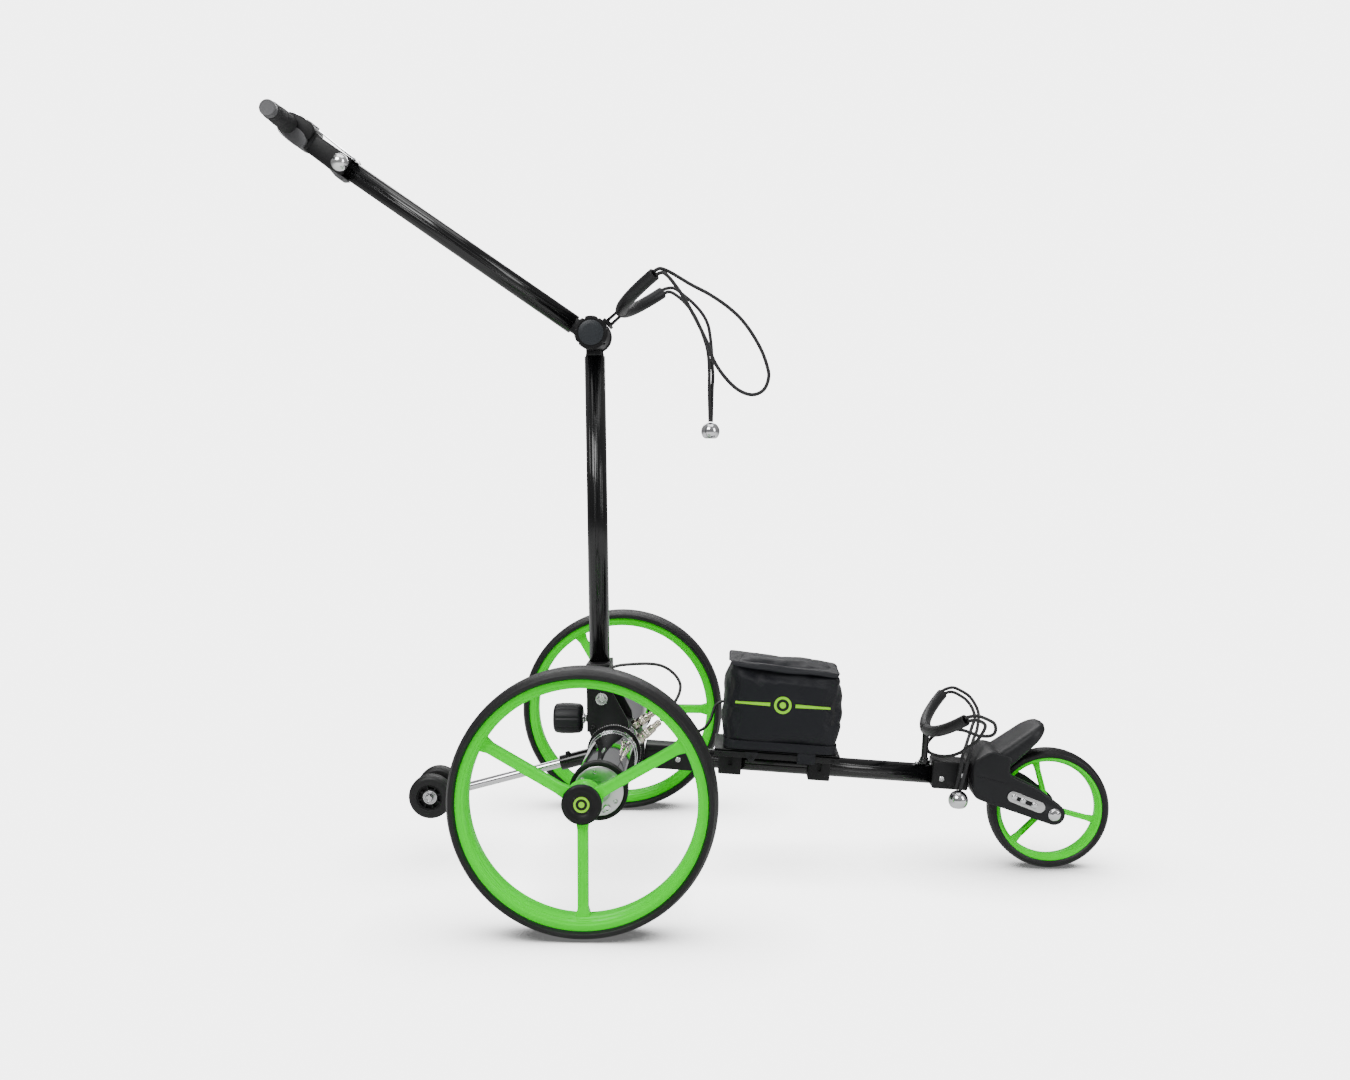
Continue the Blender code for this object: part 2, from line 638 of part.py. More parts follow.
# ---------------------------------------------------------------- pole
def pole():
    """The folding pole: foot on the hinge bolt, grooved tube, clevis with its stud."""
    bolt = [(0, 0.0395), (0.0062, 0.0395), (0.0075, 0.0385), (0.0075, 0.0364),
            (0.0040, 0.0364)]
    bolt += [(r, -z) for r, z in reversed(bolt)]
    turned("pivot_bolt", bolt, STEEL, POLE_LINE, (0, 0, 0), FACING_RIGHT, 20)
    outline = arc((0, 0), 0.0200, 180, 300, 10)
    outline += [(0.0100, 0.0440), (-0.0204, 0.0440)]
    foot = prism("pole_foot", [outline], 0.059, BLACK_CAST, POLE_LINE, (0, 0, 0),
                 FACING_RIGHT)
    bevel(foot, 0.0008)
    cut(foot, tool(cylinder(0.0043, 0.1, 16), POLE_LINE, (0, 0, 0), FACING_RIGHT))
    cut(foot, tool(cylinder(POLE_R + GAP, 0.040, 24), POLE_LINE,
                   (POLE_OFFSET, 0, 0.0325)))
    low, high = 0.0130, JOINT_HEIGHT - 0.0265
    prism("pole_tube", [grooved(POLE_R), circle(POLE_R - 0.0020)], high - low,
          BLACK_TUBE, POLE_LINE, (POLE_OFFSET, 0, (low + high) / 2))
    clevis = add("pole_clevis", cylinder(0.0205, 0.053, 24), BLACK_CAST, JOINT,
                 (0, 0, 0), FACING_RIGHT)
    join(clevis, tool(box((0.0200, 0.030, 0.0120)), POLE_LINE,
                      (POLE_OFFSET, 0, JOINT_HEIGHT - 0.0200)))
    join(clevis, tool(cylinder(0.0108, 0.030, 20), POLE_LINE,
                      (POLE_OFFSET, 0, JOINT_HEIGHT - 0.0380)))
    slot = [(-0.030, -0.0209), (0.030, -0.0209), (0.030, 0.030), (-0.030, 0.030)]
    cut(clevis, prism("tool", [slot], 0.0268, BLACK_CAST, JOINT, (0, 0, 0),
                      FACING_RIGHT))
    join(clevis, tool(cylinder(0.0040, 0.0662, 16), JOINT, (0, -0.0031, 0),
                      FACING_RIGHT))
    join(clevis, tool(cylinder(0.0072, 0.0060, 16), JOINT, (0, 0.0285, 0),
                      FACING_RIGHT))


def joint_knob():
    """The star knob on the clevis's stud, which clamps the handle's joint."""
    star = []
    for i in range(24):
        turn = math.radians(15 * i)
        radius = 0.0204 + 0.0008 * math.cos(6 * turn)
        star.append((radius * math.cos(turn), radius * math.sin(turn)))
    line = empty("joint_knob_axis", JOINT)
    knob = prism("joint_knob", [star], 0.018, BLACK_PLASTIC, line, (0, -0.0385, 0),
                 FACING_RIGHT)
    bevel(knob, 0.0015)
    cut(knob, tool(cylinder(0.0043, 0.016, 16), line, (0, -0.0290, 0), FACING_RIGHT))


pole()
joint_knob()


# ---------------------------------------------------------------- handle
def handle():
    """The handle: knuckle, grooved tube, control housing, head, bar and grips."""
    knuckle = add("handle_knuckle", cylinder(0.0195, 0.0260, 24), BLACK_CAST,
                  HANDLE_LINE, (0, 0, 0), FACING_RIGHT)
    join(knuckle, tool(box((0.018, 0.020, 0.018)), HANDLE_LINE,
                       (0.0205, 0, HANDLE_OFFSET)))
    join(knuckle, tool(cylinder(0.0102, 0.060, 20), HANDLE_LINE,
                       (0.0500, 0, HANDLE_OFFSET), ALONG_X))
    cut(knuckle, tool(cylinder(0.0043, 0.1, 16), HANDLE_LINE, (0, 0, 0), FACING_RIGHT))
    start, stop = 0.0300, 0.4520
    prism("handle_tube", [grooved(HANDLE_R), circle(HANDLE_R - 0.0020)], stop - start,
          BLACK_TUBE, HANDLE_LINE, ((start + stop) / 2, 0, HANDLE_OFFSET), ALONG_X)
    control = add("control_housing", box((0.0560, 0.031, 0.0330)), BLACK_PLASTIC,
                  HANDLE_LINE, (0.4084, 0, -0.0020))
    bevel(control, 0.0015)
    cut(control, tool(cylinder(HANDLE_R + GAP, 0.1, 24), HANDLE_LINE,
                      (0.4084, 0, HANDLE_OFFSET), ALONG_X))
    head = add("handle_head", box((0.0465, 0.041, 0.0370)), BLACK_PLASTIC, HANDLE_LINE,
               (0.4602, 0, 0))
    bevel(head, 0.006, 2)
    join(head, tool(cylinder(0.0085, 0.190, 20), HANDLE_LINE, (BAR_REACH, 0, 0),
                    FACING_RIGHT))
    cut(head, tool(cylinder(HANDLE_R + GAP, 0.040, 24), HANDLE_LINE,
                   (0.4325, 0, HANDLE_OFFSET), ALONG_X))
    grip = [(0, BAR_HALF), (0.0092, BAR_HALF), (0.0099, BAR_HALF - 0.001),
            (0.0099, 0.0885), (0.0110, 0.0880), (0.0116, 0.0860), (0.0122, 0.0240),
            (0.0118, 0.0215), (0.0088, 0.0215), (0.0088, 0.0954), (0, 0.0954)]
    for side, facing in (("right", FACING_LEFT), ("left", FACING_RIGHT)):
        turned("grip_" + side, grip, RUBBER, HANDLE_LINE, (BAR_REACH, 0, 0), facing, 18)


def speed_knob():
    """The round speed knob on the control housing's right-hand side."""
    radius = 0.0112
    ball = [(radius * math.sin(math.radians(a)), radius * math.cos(math.radians(a)))
            for a in range(0, 165, 20)]
    ball[0] = (0, radius)
    ball += [(0.0040, -0.0100), (0.0040, -0.0124), (0, -0.0124)]
    line = empty("speed_knob_axis", HANDLE_LINE, (0.3860, 0.0282, HANDLE_OFFSET),
                 FACING_LEFT)
    turned("speed_knob", ball, CHROME, line, (0, 0, 0), UPRIGHT, 14)


handle()
speed_knob()


# ---------------------------------------------------------------- straps and cables
UPPER_CATCH = [
    (0.069, -0.093, 0.754), (0.076, -0.095, 0.757), (0.086, -0.092, 0.754),
    (0.099, -0.088, 0.747), (0.114, -0.088, 0.738), (0.135, -0.088, 0.727),
    (0.156, -0.088, 0.713), (0.173, -0.088, 0.698), (0.187, -0.088, 0.680),
    (0.199, -0.088, 0.659), (0.206, -0.088, 0.640), (0.208, -0.088, 0.626),
    (0.202, -0.088, 0.611), (0.188, -0.089, 0.605), (0.171, -0.090, 0.611),
    (0.155, -0.092, 0.626), (0.142, -0.094, 0.645), (0.134, -0.095, 0.666),
    (0.121, -0.096, 0.693), (0.106, -0.098, 0.720), (0.095, -0.099, 0.736),
    (0.086, -0.099, 0.747), (0.079, -0.096, 0.752), (0.072, -0.093, 0.750)]
UPPER_BALL_FRONT = [
    (0.069, 0.093, 0.754), (0.076, 0.097, 0.757), (0.086, 0.099, 0.757),
    (0.098, 0.099, 0.748), (0.112, 0.098, 0.736), (0.124, 0.098, 0.722),
    (0.131, 0.098, 0.708), (0.134, 0.098, 0.693), (0.136, 0.097, 0.674),
    (0.137, 0.096, 0.654), (0.138, 0.096, 0.639), (0.137, 0.095, 0.618),
    (0.136, 0.095, 0.577)]
UPPER_BALL_BACK = [
    (0.072, 0.093, 0.750), (0.079, 0.095, 0.752), (0.087, 0.092, 0.748),
    (0.098, 0.089, 0.739), (0.108, 0.088, 0.727), (0.117, 0.088, 0.712),
    (0.126, 0.088, 0.689), (0.131, 0.088, 0.671), (0.133, 0.089, 0.647),
    (0.133, 0.089, 0.618), (0.134, 0.090, 0.577)]
UPPER_BALL = (0.1347, 0.0923, 0.5641)
LOWER_CATCH = [
    (0.450, -0.094, 0.211), (0.456, -0.096, 0.213), (0.464, -0.092, 0.213),
    (0.472, -0.085, 0.210), (0.483, -0.074, 0.204), (0.490, -0.068, 0.199),
    (0.493, -0.062, 0.191), (0.492, -0.057, 0.184), (0.487, -0.052, 0.180),
    (0.476, -0.047, 0.179), (0.471, -0.043, 0.180), (0.464, -0.038, 0.182),
    (0.456, -0.030, 0.183), (0.444, -0.016, 0.181), (0.433, -0.002, 0.175),
    (0.424, 0.010, 0.164), (0.419, 0.014, 0.154), (0.421, 0.011, 0.146),
    (0.427, -0.003, 0.145), (0.435, -0.016, 0.146), (0.444, -0.030, 0.150),
    (0.453, -0.043, 0.157), (0.460, -0.054, 0.166), (0.468, -0.065, 0.175),
    (0.474, -0.077, 0.189), (0.475, -0.089, 0.200), (0.470, -0.097, 0.206),
    (0.462, -0.098, 0.209), (0.453, -0.094, 0.207)]
LOWER_BALL_FRONT = [
    (0.450, 0.094, 0.211), (0.457, 0.097, 0.214), (0.466, 0.096, 0.216),
    (0.475, 0.089, 0.213), (0.485, 0.081, 0.207), (0.491, 0.070, 0.198),
    (0.493, 0.056, 0.189), (0.490, 0.040, 0.181), (0.485, 0.022, 0.172),
    (0.477, 0.002, 0.164), (0.470, -0.019, 0.155), (0.464, -0.032, 0.141),
    (0.459, -0.036, 0.124), (0.454, -0.037, 0.107)]
LOWER_BALL_BACK = [
    (0.453, 0.094, 0.207), (0.460, 0.095, 0.210), (0.467, 0.090, 0.210),
    (0.474, 0.081, 0.207), (0.480, 0.070, 0.203), (0.485, 0.057, 0.195),
    (0.486, 0.042, 0.185), (0.480, 0.026, 0.178), (0.473, 0.008, 0.169),
    (0.465, -0.014, 0.160), (0.458, -0.027, 0.148), (0.456, -0.033, 0.136),
    (0.453, -0.034, 0.122), (0.450, -0.033, 0.107)]
LOWER_BALL = (0.4523, -0.0350, 0.0939)
CONTROL_CABLE = [
    (0.000, -0.034, 0.248), (0.006, -0.034, 0.258), (0.018, -0.034, 0.263),
    (0.033, -0.034, 0.265), (0.058, -0.034, 0.266), (0.076, -0.034, 0.263),
    (0.090, -0.035, 0.254), (0.098, -0.035, 0.242), (0.098, -0.038, 0.231),
    (0.093, -0.042, 0.220), (0.085, -0.046, 0.207), (0.074, -0.050, 0.196)]
BATTERY_LEAD = [
    (0.067, -0.027, 0.203), (0.074, -0.026, 0.206), (0.085, -0.025, 0.201),
    (0.095, -0.021, 0.189), (0.105, -0.016, 0.179), (0.117, -0.010, 0.174),
    (0.128, -0.003, 0.177), (0.136, 0.004, 0.186), (0.140, 0.008, 0.197),
    (0.144, 0.010, 0.206), (0.153, 0.010, 0.211)]


def strap_ball(name, centre):
    """A chromed ball with a hole through it for the strap's two ends."""
    ball = [(BALL_R * math.cos(math.radians(a)), BALL_R * math.sin(math.radians(a)))
            for a in range(70, -71, -20)]
    ball += [(0.0030, -0.0040)]
    ball[0] = (0.0030, ball[0][1])
    turned(name, ball, CHROME, TROLLEY, centre, UPRIGHT, 14)


def cords():
    """Each strap strand and cable as a tube along its route."""
    routes = (("upper_catch_strap", UPPER_CATCH, UPPER_STRAP_R),
              ("upper_ball_strap_front", UPPER_BALL_FRONT, UPPER_STRAP_R),
              ("upper_ball_strap_back", UPPER_BALL_BACK, UPPER_STRAP_R),
              ("lower_catch_strap", LOWER_CATCH, LOWER_STRAP_R),
              ("lower_ball_strap_front", LOWER_BALL_FRONT, LOWER_STRAP_R),
              ("lower_ball_strap_back", LOWER_BALL_BACK, LOWER_STRAP_R),
              ("control_cable", CONTROL_CABLE, CABLE_R),
              ("battery_lead", BATTERY_LEAD, CABLE_R))
    for name, route, radius in routes:
        rod(name, smooth(route, 6 * radius), radius, CORD, TROLLEY)


strap_ball("upper_strap_ball", UPPER_BALL)
strap_ball("lower_strap_ball", LOWER_BALL)
cords()
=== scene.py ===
"""Looks of the electric golf trolley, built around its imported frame."""
import json
import math

import bmesh
import bpy
from mathutils import Matrix, Vector, noise


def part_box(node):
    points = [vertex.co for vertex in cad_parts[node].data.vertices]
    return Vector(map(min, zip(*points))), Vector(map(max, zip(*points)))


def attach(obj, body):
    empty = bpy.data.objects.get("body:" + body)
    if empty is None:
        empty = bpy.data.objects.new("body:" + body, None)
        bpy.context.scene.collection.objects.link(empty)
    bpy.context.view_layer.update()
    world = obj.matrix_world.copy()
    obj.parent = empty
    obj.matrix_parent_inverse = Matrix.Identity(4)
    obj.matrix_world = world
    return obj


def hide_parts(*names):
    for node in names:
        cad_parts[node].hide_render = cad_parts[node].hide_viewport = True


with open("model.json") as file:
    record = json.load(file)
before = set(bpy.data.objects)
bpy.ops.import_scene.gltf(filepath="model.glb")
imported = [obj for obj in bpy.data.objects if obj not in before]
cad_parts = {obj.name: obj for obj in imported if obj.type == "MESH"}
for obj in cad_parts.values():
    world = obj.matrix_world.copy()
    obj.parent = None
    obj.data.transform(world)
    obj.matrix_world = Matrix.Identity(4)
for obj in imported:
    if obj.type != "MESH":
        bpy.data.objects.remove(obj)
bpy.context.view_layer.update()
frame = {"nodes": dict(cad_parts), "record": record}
SCENE = bpy.context.scene
SLOTS = {row["node"]: row["material_slot"] for row in frame["record"]["subparts"]}


def middle(node):
    """The centre of a CAD node's box."""
    low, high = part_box(node)
    return (low + high) / 2


def turn(degrees, axis):
    """A rotation matrix."""
    return Matrix.Rotation(math.radians(degrees), 4, axis)


def shift(x=0.0, y=0.0, z=0.0):
    """A translation matrix."""
    return Matrix.Translation((x, y, z))


REAR = middle("rear_tyre_right")
FRONT = middle("front_tyre")
X0 = REAR.x
ORIGIN = shift(X0)
TUBE_LINE = ORIGIN @ shift(0.4024, 0, 0.1208) @ turn(3.6, "Y")
POLE_LINE = ORIGIN @ shift(-0.002, 0, 0.2205) @ turn(-0.725, "Y")
JOINT = shift(X0 - 0.01308, 0, 0.6850)
HANDLE = JOINT @ turn(180, "Z") @ turn(-34.6, "Y")
ANTITIP = ORIGIN @ shift(-0.0591, 0, 0.1292) @ turn(-15, "Y")
MOTOR = ORIGIN @ shift(0.014, 0, 0.1535)
FACE_RIGHT = turn(90, "X")
FACE_LEFT = turn(-90, "X")
ALONG_X = turn(90, "Y")
SIDES = (("right", -1, FACE_RIGHT), ("left", 1, FACE_LEFT))
POLE_TUBE = POLE_LINE @ shift(-0.0052)
HANDLE_TUBE = HANDLE @ shift(0, 0, -0.0035)
BAR = HANDLE @ shift(0.4704)
SHARP = math.radians(32)
TINY = 1e-7
WELD = 0.00001


def placed(name, data, place):
    """An object in the scene, at its place."""
    made = bpy.data.objects.new(name, data)
    SCENE.collection.objects.link(made)
    made.matrix_world = place
    return made


def add_node(tree, kind, inputs=None):
    """A shader node, its inputs linked to other nodes' outputs or set to values."""
    made = tree.nodes.new(kind)
    for key, value in (inputs or {}).items():
        if isinstance(value, bpy.types.NodeSocket):
            tree.links.new(value, made.inputs[key])
        else:
            made.inputs[key].default_value = value
    return made


# ------------------------------------------------------------------ camera, light, floor
def make_camera():
    """The photograph's own viewing angle."""
    lens = bpy.data.cameras.new("camera")
    lens.lens = lens.sensor_width = 36.0
    place = shift(X0 + 0.161, -1.742, 0.528) @ turn(2.32, "Z") @ turn(90 - 3.47, "X")
    SCENE.camera = placed("camera", lens, place)


def soft_light(name, place, aim, size, power):
    """One large soft box."""
    lamp = bpy.data.lights.new(name, "AREA")
    lamp.shape = "RECTANGLE"
    lamp.size, lamp.size_y = size
    lamp.energy = power
    facing = (Vector(aim) - Vector(place)).to_track_quat("-Z", "Y")
    placed(name, lamp, shift(*place) @ facing.to_matrix().to_4x4())


def camera_mix(tree, seen, unseen, output):
    """What the camera sees directly, and what lights the object."""
    path = add_node(tree, "ShaderNodeLightPath")
    mix = add_node(tree, "ShaderNodeMixShader", {0: path.outputs["Is Camera Ray"],
                                                 1: unseen.outputs[0], 2: seen.outputs[0]})
    add_node(tree, output, {0: mix.outputs[0]})


def make_world():
    """White to the camera, and a pale sky over darker ground to light the object."""
    world = bpy.data.worlds.new("studio")
    SCENE.world = world
    world.use_nodes = True
    tree = world.node_tree
    tree.nodes.clear()
    seen = add_node(tree, "ShaderNodeBackground", {0: (1, 1, 1, 1), 1: 5.0})
    coords = add_node(tree, "ShaderNodeTexCoord")
    split = add_node(tree, "ShaderNodeSeparateXYZ", {0: coords.outputs["Generated"]})
    scale = add_node(tree, "ShaderNodeMapRange",
                     {"From Min": -1.0, "Value": split.outputs["Z"]})
    ramp = add_node(tree, "ShaderNodeValToRGB", {0: scale.outputs[0]})
    ground, sky = ramp.color_ramp.elements
    ground.position, ground.color = 0.30, (0.30, 0.30, 0.31, 1)
    sky.position, sky.color = 0.85, (1.0, 1.0, 1.0, 1)
    fill = add_node(tree, "ShaderNodeBackground", {0: ramp.outputs[0], 1: 0.36})
    camera_mix(tree, seen, fill, "ShaderNodeOutputWorld")


def make_floor():
    """A matt floor, near white to the camera, with contact shadows painted into its glow by
    ambient occlusion.
    """
    reach = 40
    mesh = bpy.data.meshes.new("floor")
    mesh.from_pydata([(-reach, -reach, 0), (reach, -reach, 0), (reach, reach, 0),
                      (-reach, reach, 0)], [], [(0, 1, 2, 3)])
    paint = bpy.data.materials.new("pale_floor")
    paint.use_nodes = True
    tree = paint.node_tree
    tree.nodes.clear()
    matt = add_node(tree, "ShaderNodeBsdfDiffuse", {0: (0.80, 0.80, 0.80, 1)})
    # painted contact shadow: ambient occlusion darkens the floor's glow near the trolley
    near = add_node(tree, "ShaderNodeAmbientOcclusion", {"Distance": 0.16})
    near.samples = 8
    shade = add_node(tree, "ShaderNodeMapRange", {"From Min": 0.40, "To Min": 0.16,
                                                  "To Max": 5.0, "Value": near.outputs["AO"]})
    glow = add_node(tree, "ShaderNodeEmission", {1: shade.outputs[0]})
    camera_mix(tree, glow, matt, "ShaderNodeOutputMaterial")
    mesh.materials.append(paint)
    placed("floor", mesh, Matrix.Identity(4))


make_camera()
make_world()
soft_light("key", (-1.2, -2.2, 2.6), (0.0, 0, 0.3), (1.8, 1.4), 78)
soft_light("side", (2.4, -1.6, 1.5), (0.1, 0, 0.4), (1.0, 1.8), 32)
soft_light("back", (-0.3, 2.6, 2.2), (0.0, 0, 0.4), (2.4, 1.0), 36)
soft_light("top", (0.0, -0.2, 3.2), (0.0, 0, 0.2), (2.6, 2.0), 30)
make_floor()


# ------------------------------------------------------------------ materials
def surface(name, colour, rough, metallic=0.0, specular=0.5, coat=0.0, sheen=0.0,
            mottle=(40.0, 0.10), grain=(900.0, 0.10, 0.0003), spread=0.06, wear=None,
            stretch=(1, 1, 1), weave=None):
    """A procedural finish: mottled colour, uneven roughness, grain, weave and edge wear."""
    made = bpy.data.materials.new(name)
    made.use_nodes = True
    tree = made.node_tree
    coords = add_node(tree, "ShaderNodeTexCoord")
    place = add_node(tree, "ShaderNodeMapping", {"Scale": stretch,
                                                 "Vector": coords.outputs["Object"]})

    def cloud(scale, detail):
        return add_node(tree, "ShaderNodeTexNoise",
                        {"Scale": scale, "Detail": detail,
                         "Vector": place.outputs[0]}).outputs["Fac"]

    def blend(factor, first, second):
        node = add_node(tree, "ShaderNodeMix")
        node.data_type = "RGBA"
        for key, value in ((0, factor), (6, first), (7, second)):
            if isinstance(value, tuple):
                node.inputs[key].default_value = value
            else:
                tree.links.new(value, node.inputs[key])
        return node.outputs[2]

    def tone(scale):
        return (*(min(1.0, c * scale) for c in colour), 1)

    broad = cloud(mottle[0], 3.0)
    tint = blend(broad, tone(1 - mottle[1]), tone(1 + mottle[1]))
    if wear:
        geometry = add_node(tree, "ShaderNodeNewGeometry")
        edge = add_node(tree, "ShaderNodeMapRange",
                        {"From Min": 0.52, "From Max": 0.62, "To Max": wear[1],
                         "Value": geometry.outputs["Pointiness"]})
        tint = blend(edge.outputs[0], tint, wear[0])
    height = cloud(grain[0], 2.0)
    if weave:
        height = None
        for direction in weave[1]:
            wave = add_node(tree, "ShaderNodeTexWave", {"Scale": weave[0],
                                                        "Distortion": 0.4,
                                                        "Vector": place.outputs[0]})
            wave.bands_direction = direction
            threads = wave.outputs["Fac"]
            if height:
                both = add_node(tree, "ShaderNodeMath", {0: height, 1: threads})
                both.operation = "MULTIPLY"
                threads = both.outputs[0]
            height = threads
        tint = blend(height, tint, tone(weave[2]))
    uneven = add_node(tree, "ShaderNodeMapRange", {"To Min": max(0.02, rough - spread),
                                                   "To Max": min(1.0, rough + spread),
                                                   "Value": broad})
    bump = add_node(tree, "ShaderNodeBump", {"Strength": grain[1], "Distance": grain[2],
                                             "Height": height})
    shader = tree.nodes["Principled BSDF"]
    for key, value in (("Metallic", metallic), ("Specular IOR Level", specular),
                       ("Coat Weight", coat), ("Coat Roughness", 0.08),
                       ("Sheen Weight", sheen), ("Sheen Roughness", 0.4)):
        shader.inputs[key].default_value = value
    for key, value in (("Base Color", tint), ("Roughness", uneven.outputs[0]),
                       ("Normal", bump.outputs[0])):
        tree.links.new(value, shader.inputs[key])
    return made


GREY_EDGE = ((0.06, 0.06, 0.063, 1), 0.30)
TYRE = surface("tyre_rubber", (0.009, 0.009, 0.0095), 0.46, specular=0.35,
               mottle=(60, 0.25), grain=(700, 0.25, 0.0004), wear=GREY_EDGE)
GREEN = surface("lime_moulding", (0.022, 0.900, 0.001), 0.24, specular=0.18,
                mottle=(18, 0.05), grain=(260, 0.04, 0.0002), spread=0.05)
SATIN = surface("satin_black_tube", (0.004, 0.004, 0.0045), 0.17, specular=0.45,
                coat=0.15, mottle=(30, 0.06), grain=(300, 0.004, 0.0001), spread=0.01)
CAST = surface("powder_black", (0.006, 0.006, 0.0065), 0.40, specular=0.25,
               mottle=(50, 0.2), grain=(1300, 0.22, 0.0003), wear=GREY_EDGE)
PLASTIC = surface("black_moulding", (0.007, 0.007, 0.0075), 0.46, specular=0.25,
                  mottle=(40, 0.15), grain=(1600, 0.22, 0.0003), wear=GREY_EDGE)
GREY = surface("grey_moulding", (0.009, 0.0095, 0.011), 0.45, specular=0.3,
               mottle=(30, 0.12), grain=(1800, 0.25, 0.0003), wear=GREY_EDGE)
PALE_GREY = surface("pale_grey_moulding", (0.10, 0.10, 0.104), 0.5, specular=0.4,
                    mottle=(40, 0.08), grain=(1800, 0.2, 0.0003))
SLEEVE = surface("sleeve_rubber", (0.010, 0.010, 0.011), 0.45, specular=0.35,
                 mottle=(70, 0.25), grain=(1500, 0.2, 0.0003), sheen=0.05)
KNOB_FACE = surface("slate_moulding", (0.016, 0.019, 0.023), 0.42, specular=0.4,
                    mottle=(30, 0.12), grain=(1800, 0.2, 0.0003))
GRIP = surface("grip_rubber", (0.018, 0.018, 0.019), 0.7, specular=0.35,
               mottle=(70, 0.25), grain=(2200, 0.5, 0.0005))
CHROME = surface("mirror_chrome", (0.80, 0.80, 0.82), 0.06, metallic=1.0,
                 mottle=(25, 0.04), grain=(500, 0.03, 0.0002), spread=0.03)
WHITE_CHROME = surface("white_chrome", (0.95, 0.95, 0.96), 0.16, metallic=1.0,
                       mottle=(25, 0.03), grain=(500, 0.03, 0.0002), spread=0.04)
STEEL = surface("bright_steel", (0.62, 0.62, 0.63), 0.20, metallic=1.0,
                mottle=(60, 0.10), grain=(900, 0.10, 0.0002), stretch=(1, 1, 0.08))
BRASS_STEEL = surface("plated_fitting", (0.66, 0.61, 0.52), 0.17, metallic=1.0,
                      mottle=(120, 0.14), grain=(900, 0.08, 0.0002))
ALLOY = surface("machined_alloy", (0.70, 0.70, 0.70), 0.30, metallic=1.0,
                mottle=(45, 0.10), grain=(1200, 0.18, 0.0002))
CORD = surface("elastic_cord", (0.014, 0.014, 0.015), 0.62, specular=0.35,
               mottle=(200, 0.3), grain=(600, 0.5, 0.0004), sheen=0.2,
               weave=(300.0, ("DIAGONAL",), 1.5))
CABLE = surface("cable_jacket", (0.018, 0.018, 0.018), 0.40, specular=0.5,
                mottle=(120, 0.2), grain=(1500, 0.15, 0.0003))
NYLON = surface("woven_nylon", (0.0055, 0.006, 0.009), 0.50, specular=0.3, sheen=0.06,
                mottle=(25, 0.22), grain=(900, 0.55, 0.0004),
                weave=(380.0, ("X", "Z", "Y"), 1.7))
LIME_INK = surface("lime_print", (0.30, 0.82, 0.004), 0.42, specular=0.45,
                   mottle=(60, 0.07), grain=(1500, 0.2, 0.0002))
# black for the block seams, and painted shade for the hole under each strap ball
DARK = surface("seam_black_and_painted_hole_shade", (0.006, 0.006, 0.006), 0.8, specular=0.2)
PLAIN = {"steel": STEEL, "motor": STEEL, "black_cast": CAST, "black_tube": SATIN,
         "cells": PLASTIC, "black_plastic": PLASTIC}


# ------------------------------------------------------------------ building
def soften(points, reach, closed=False, cuts=4):
    """The same line with each corner rounded off over a short reach."""
    points = [Vector(point) for point in points]
    last = len(points) - 1
    made = []
    for i, here in enumerate(points):
        before = points[i - 1] - here
        after = points[(i + 1) % (last + 1)] - here
        if (not closed and i in (0, last)) or min(before.length, after.length) < TINY \
                or before.angle(after) > math.radians(172):
            made.append(tuple(here))
            continue
        start = here + before.normalized() * min(reach, 0.46 * before.length)
        stop = here + after.normalized() * min(reach, 0.46 * after.length)
        for k in range(cuts + 1):
            t = k / cuts
            made.append(tuple((1 - t) ** 2 * start + 2 * t * (1 - t) * here + t * t * stop))
    return made


def publish(piece, finish, body, nodes=()):
    """Give a piece its finish and body, and hide the CAD nodes that it stands for."""
    piece.data.materials.clear()
    piece.data.materials.append(finish)
    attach(piece, body)
    if nodes:
        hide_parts(*nodes)
    return piece


def from_mesh(name, mesh, place):
    """A piece in the scene, smooth but for its edges."""
    mesh.shade_smooth()
    mesh.set_sharp_from_angle(angle=SHARP)
    return placed(name, mesh, place)


def mesh_from(name, shape):
    """The mesh of a worked shape."""
    mesh = bpy.data.meshes.new(name)
    shape.to_mesh(mesh)
    shape.free()
    return mesh


def weld(mesh, flatten=False):
    """Join a mesh's doubled points, face its skin outwards and merge flat faces."""
    shape = bmesh.new()
    shape.from_mesh(mesh)
    bmesh.ops.remove_doubles(shape, verts=shape.verts, dist=WELD)
    bmesh.ops.recalc_face_normals(shape, faces=shape.faces)
    if flatten:
        bmesh.ops.dissolve_limit(shape, angle_limit=0.01, verts=shape.verts,
                                 edges=shape.edges)
    shape.to_mesh(mesh)
    shape.free()


def ring_faces(rings, sides):
    """The faces between rings of points."""
    return [(i * sides + k, i * sides + j, (i + 1) * sides + j, (i + 1) * sides + k)
            for i in range(rings - 1) for k, j in enumerate([*range(1, sides), 0])]


def ring_mesh(name, profile, steps, closed):
    """A turned mesh about Z from (radius, height) points down its outer side."""
    verts, rows = [], []
    for radius, height in profile:
        if radius < TINY:
            rows.append([len(verts)] * steps)
            verts.append((0, 0, height))
            continue
        rows.append(list(range(len(verts), len(verts) + steps)))
        for k in range(steps):
            angle = 2 * math.pi * k / steps
            verts.append((radius * math.cos(angle), radius * math.sin(angle), height))
    pairs = list(zip(rows, rows[1:]))
    if closed:
        pairs.append((rows[-1], rows[0]))
    faces = []
    for upper, lower in pairs:
        for k in range(steps):
            j = (k + 1) % steps
            face = list(dict.fromkeys((upper[k], lower[k], lower[j], upper[j])))
            if len(face) > 2:
                faces.append(face)
    mesh = bpy.data.meshes.new(name)
    mesh.from_pydata(verts, [], faces)
    return mesh


def lathe(name, profile, finish, place, body, nodes=(), steps=96, rounding=0.0004):
    """A turned piece with softened corners."""
    closed = profile[0][0] > TINY
    if rounding:
        profile = soften(profile, rounding, closed)
    mesh = ring_mesh(name, profile, steps, closed)
    return publish(from_mesh(name, mesh, place), finish, body, nodes)


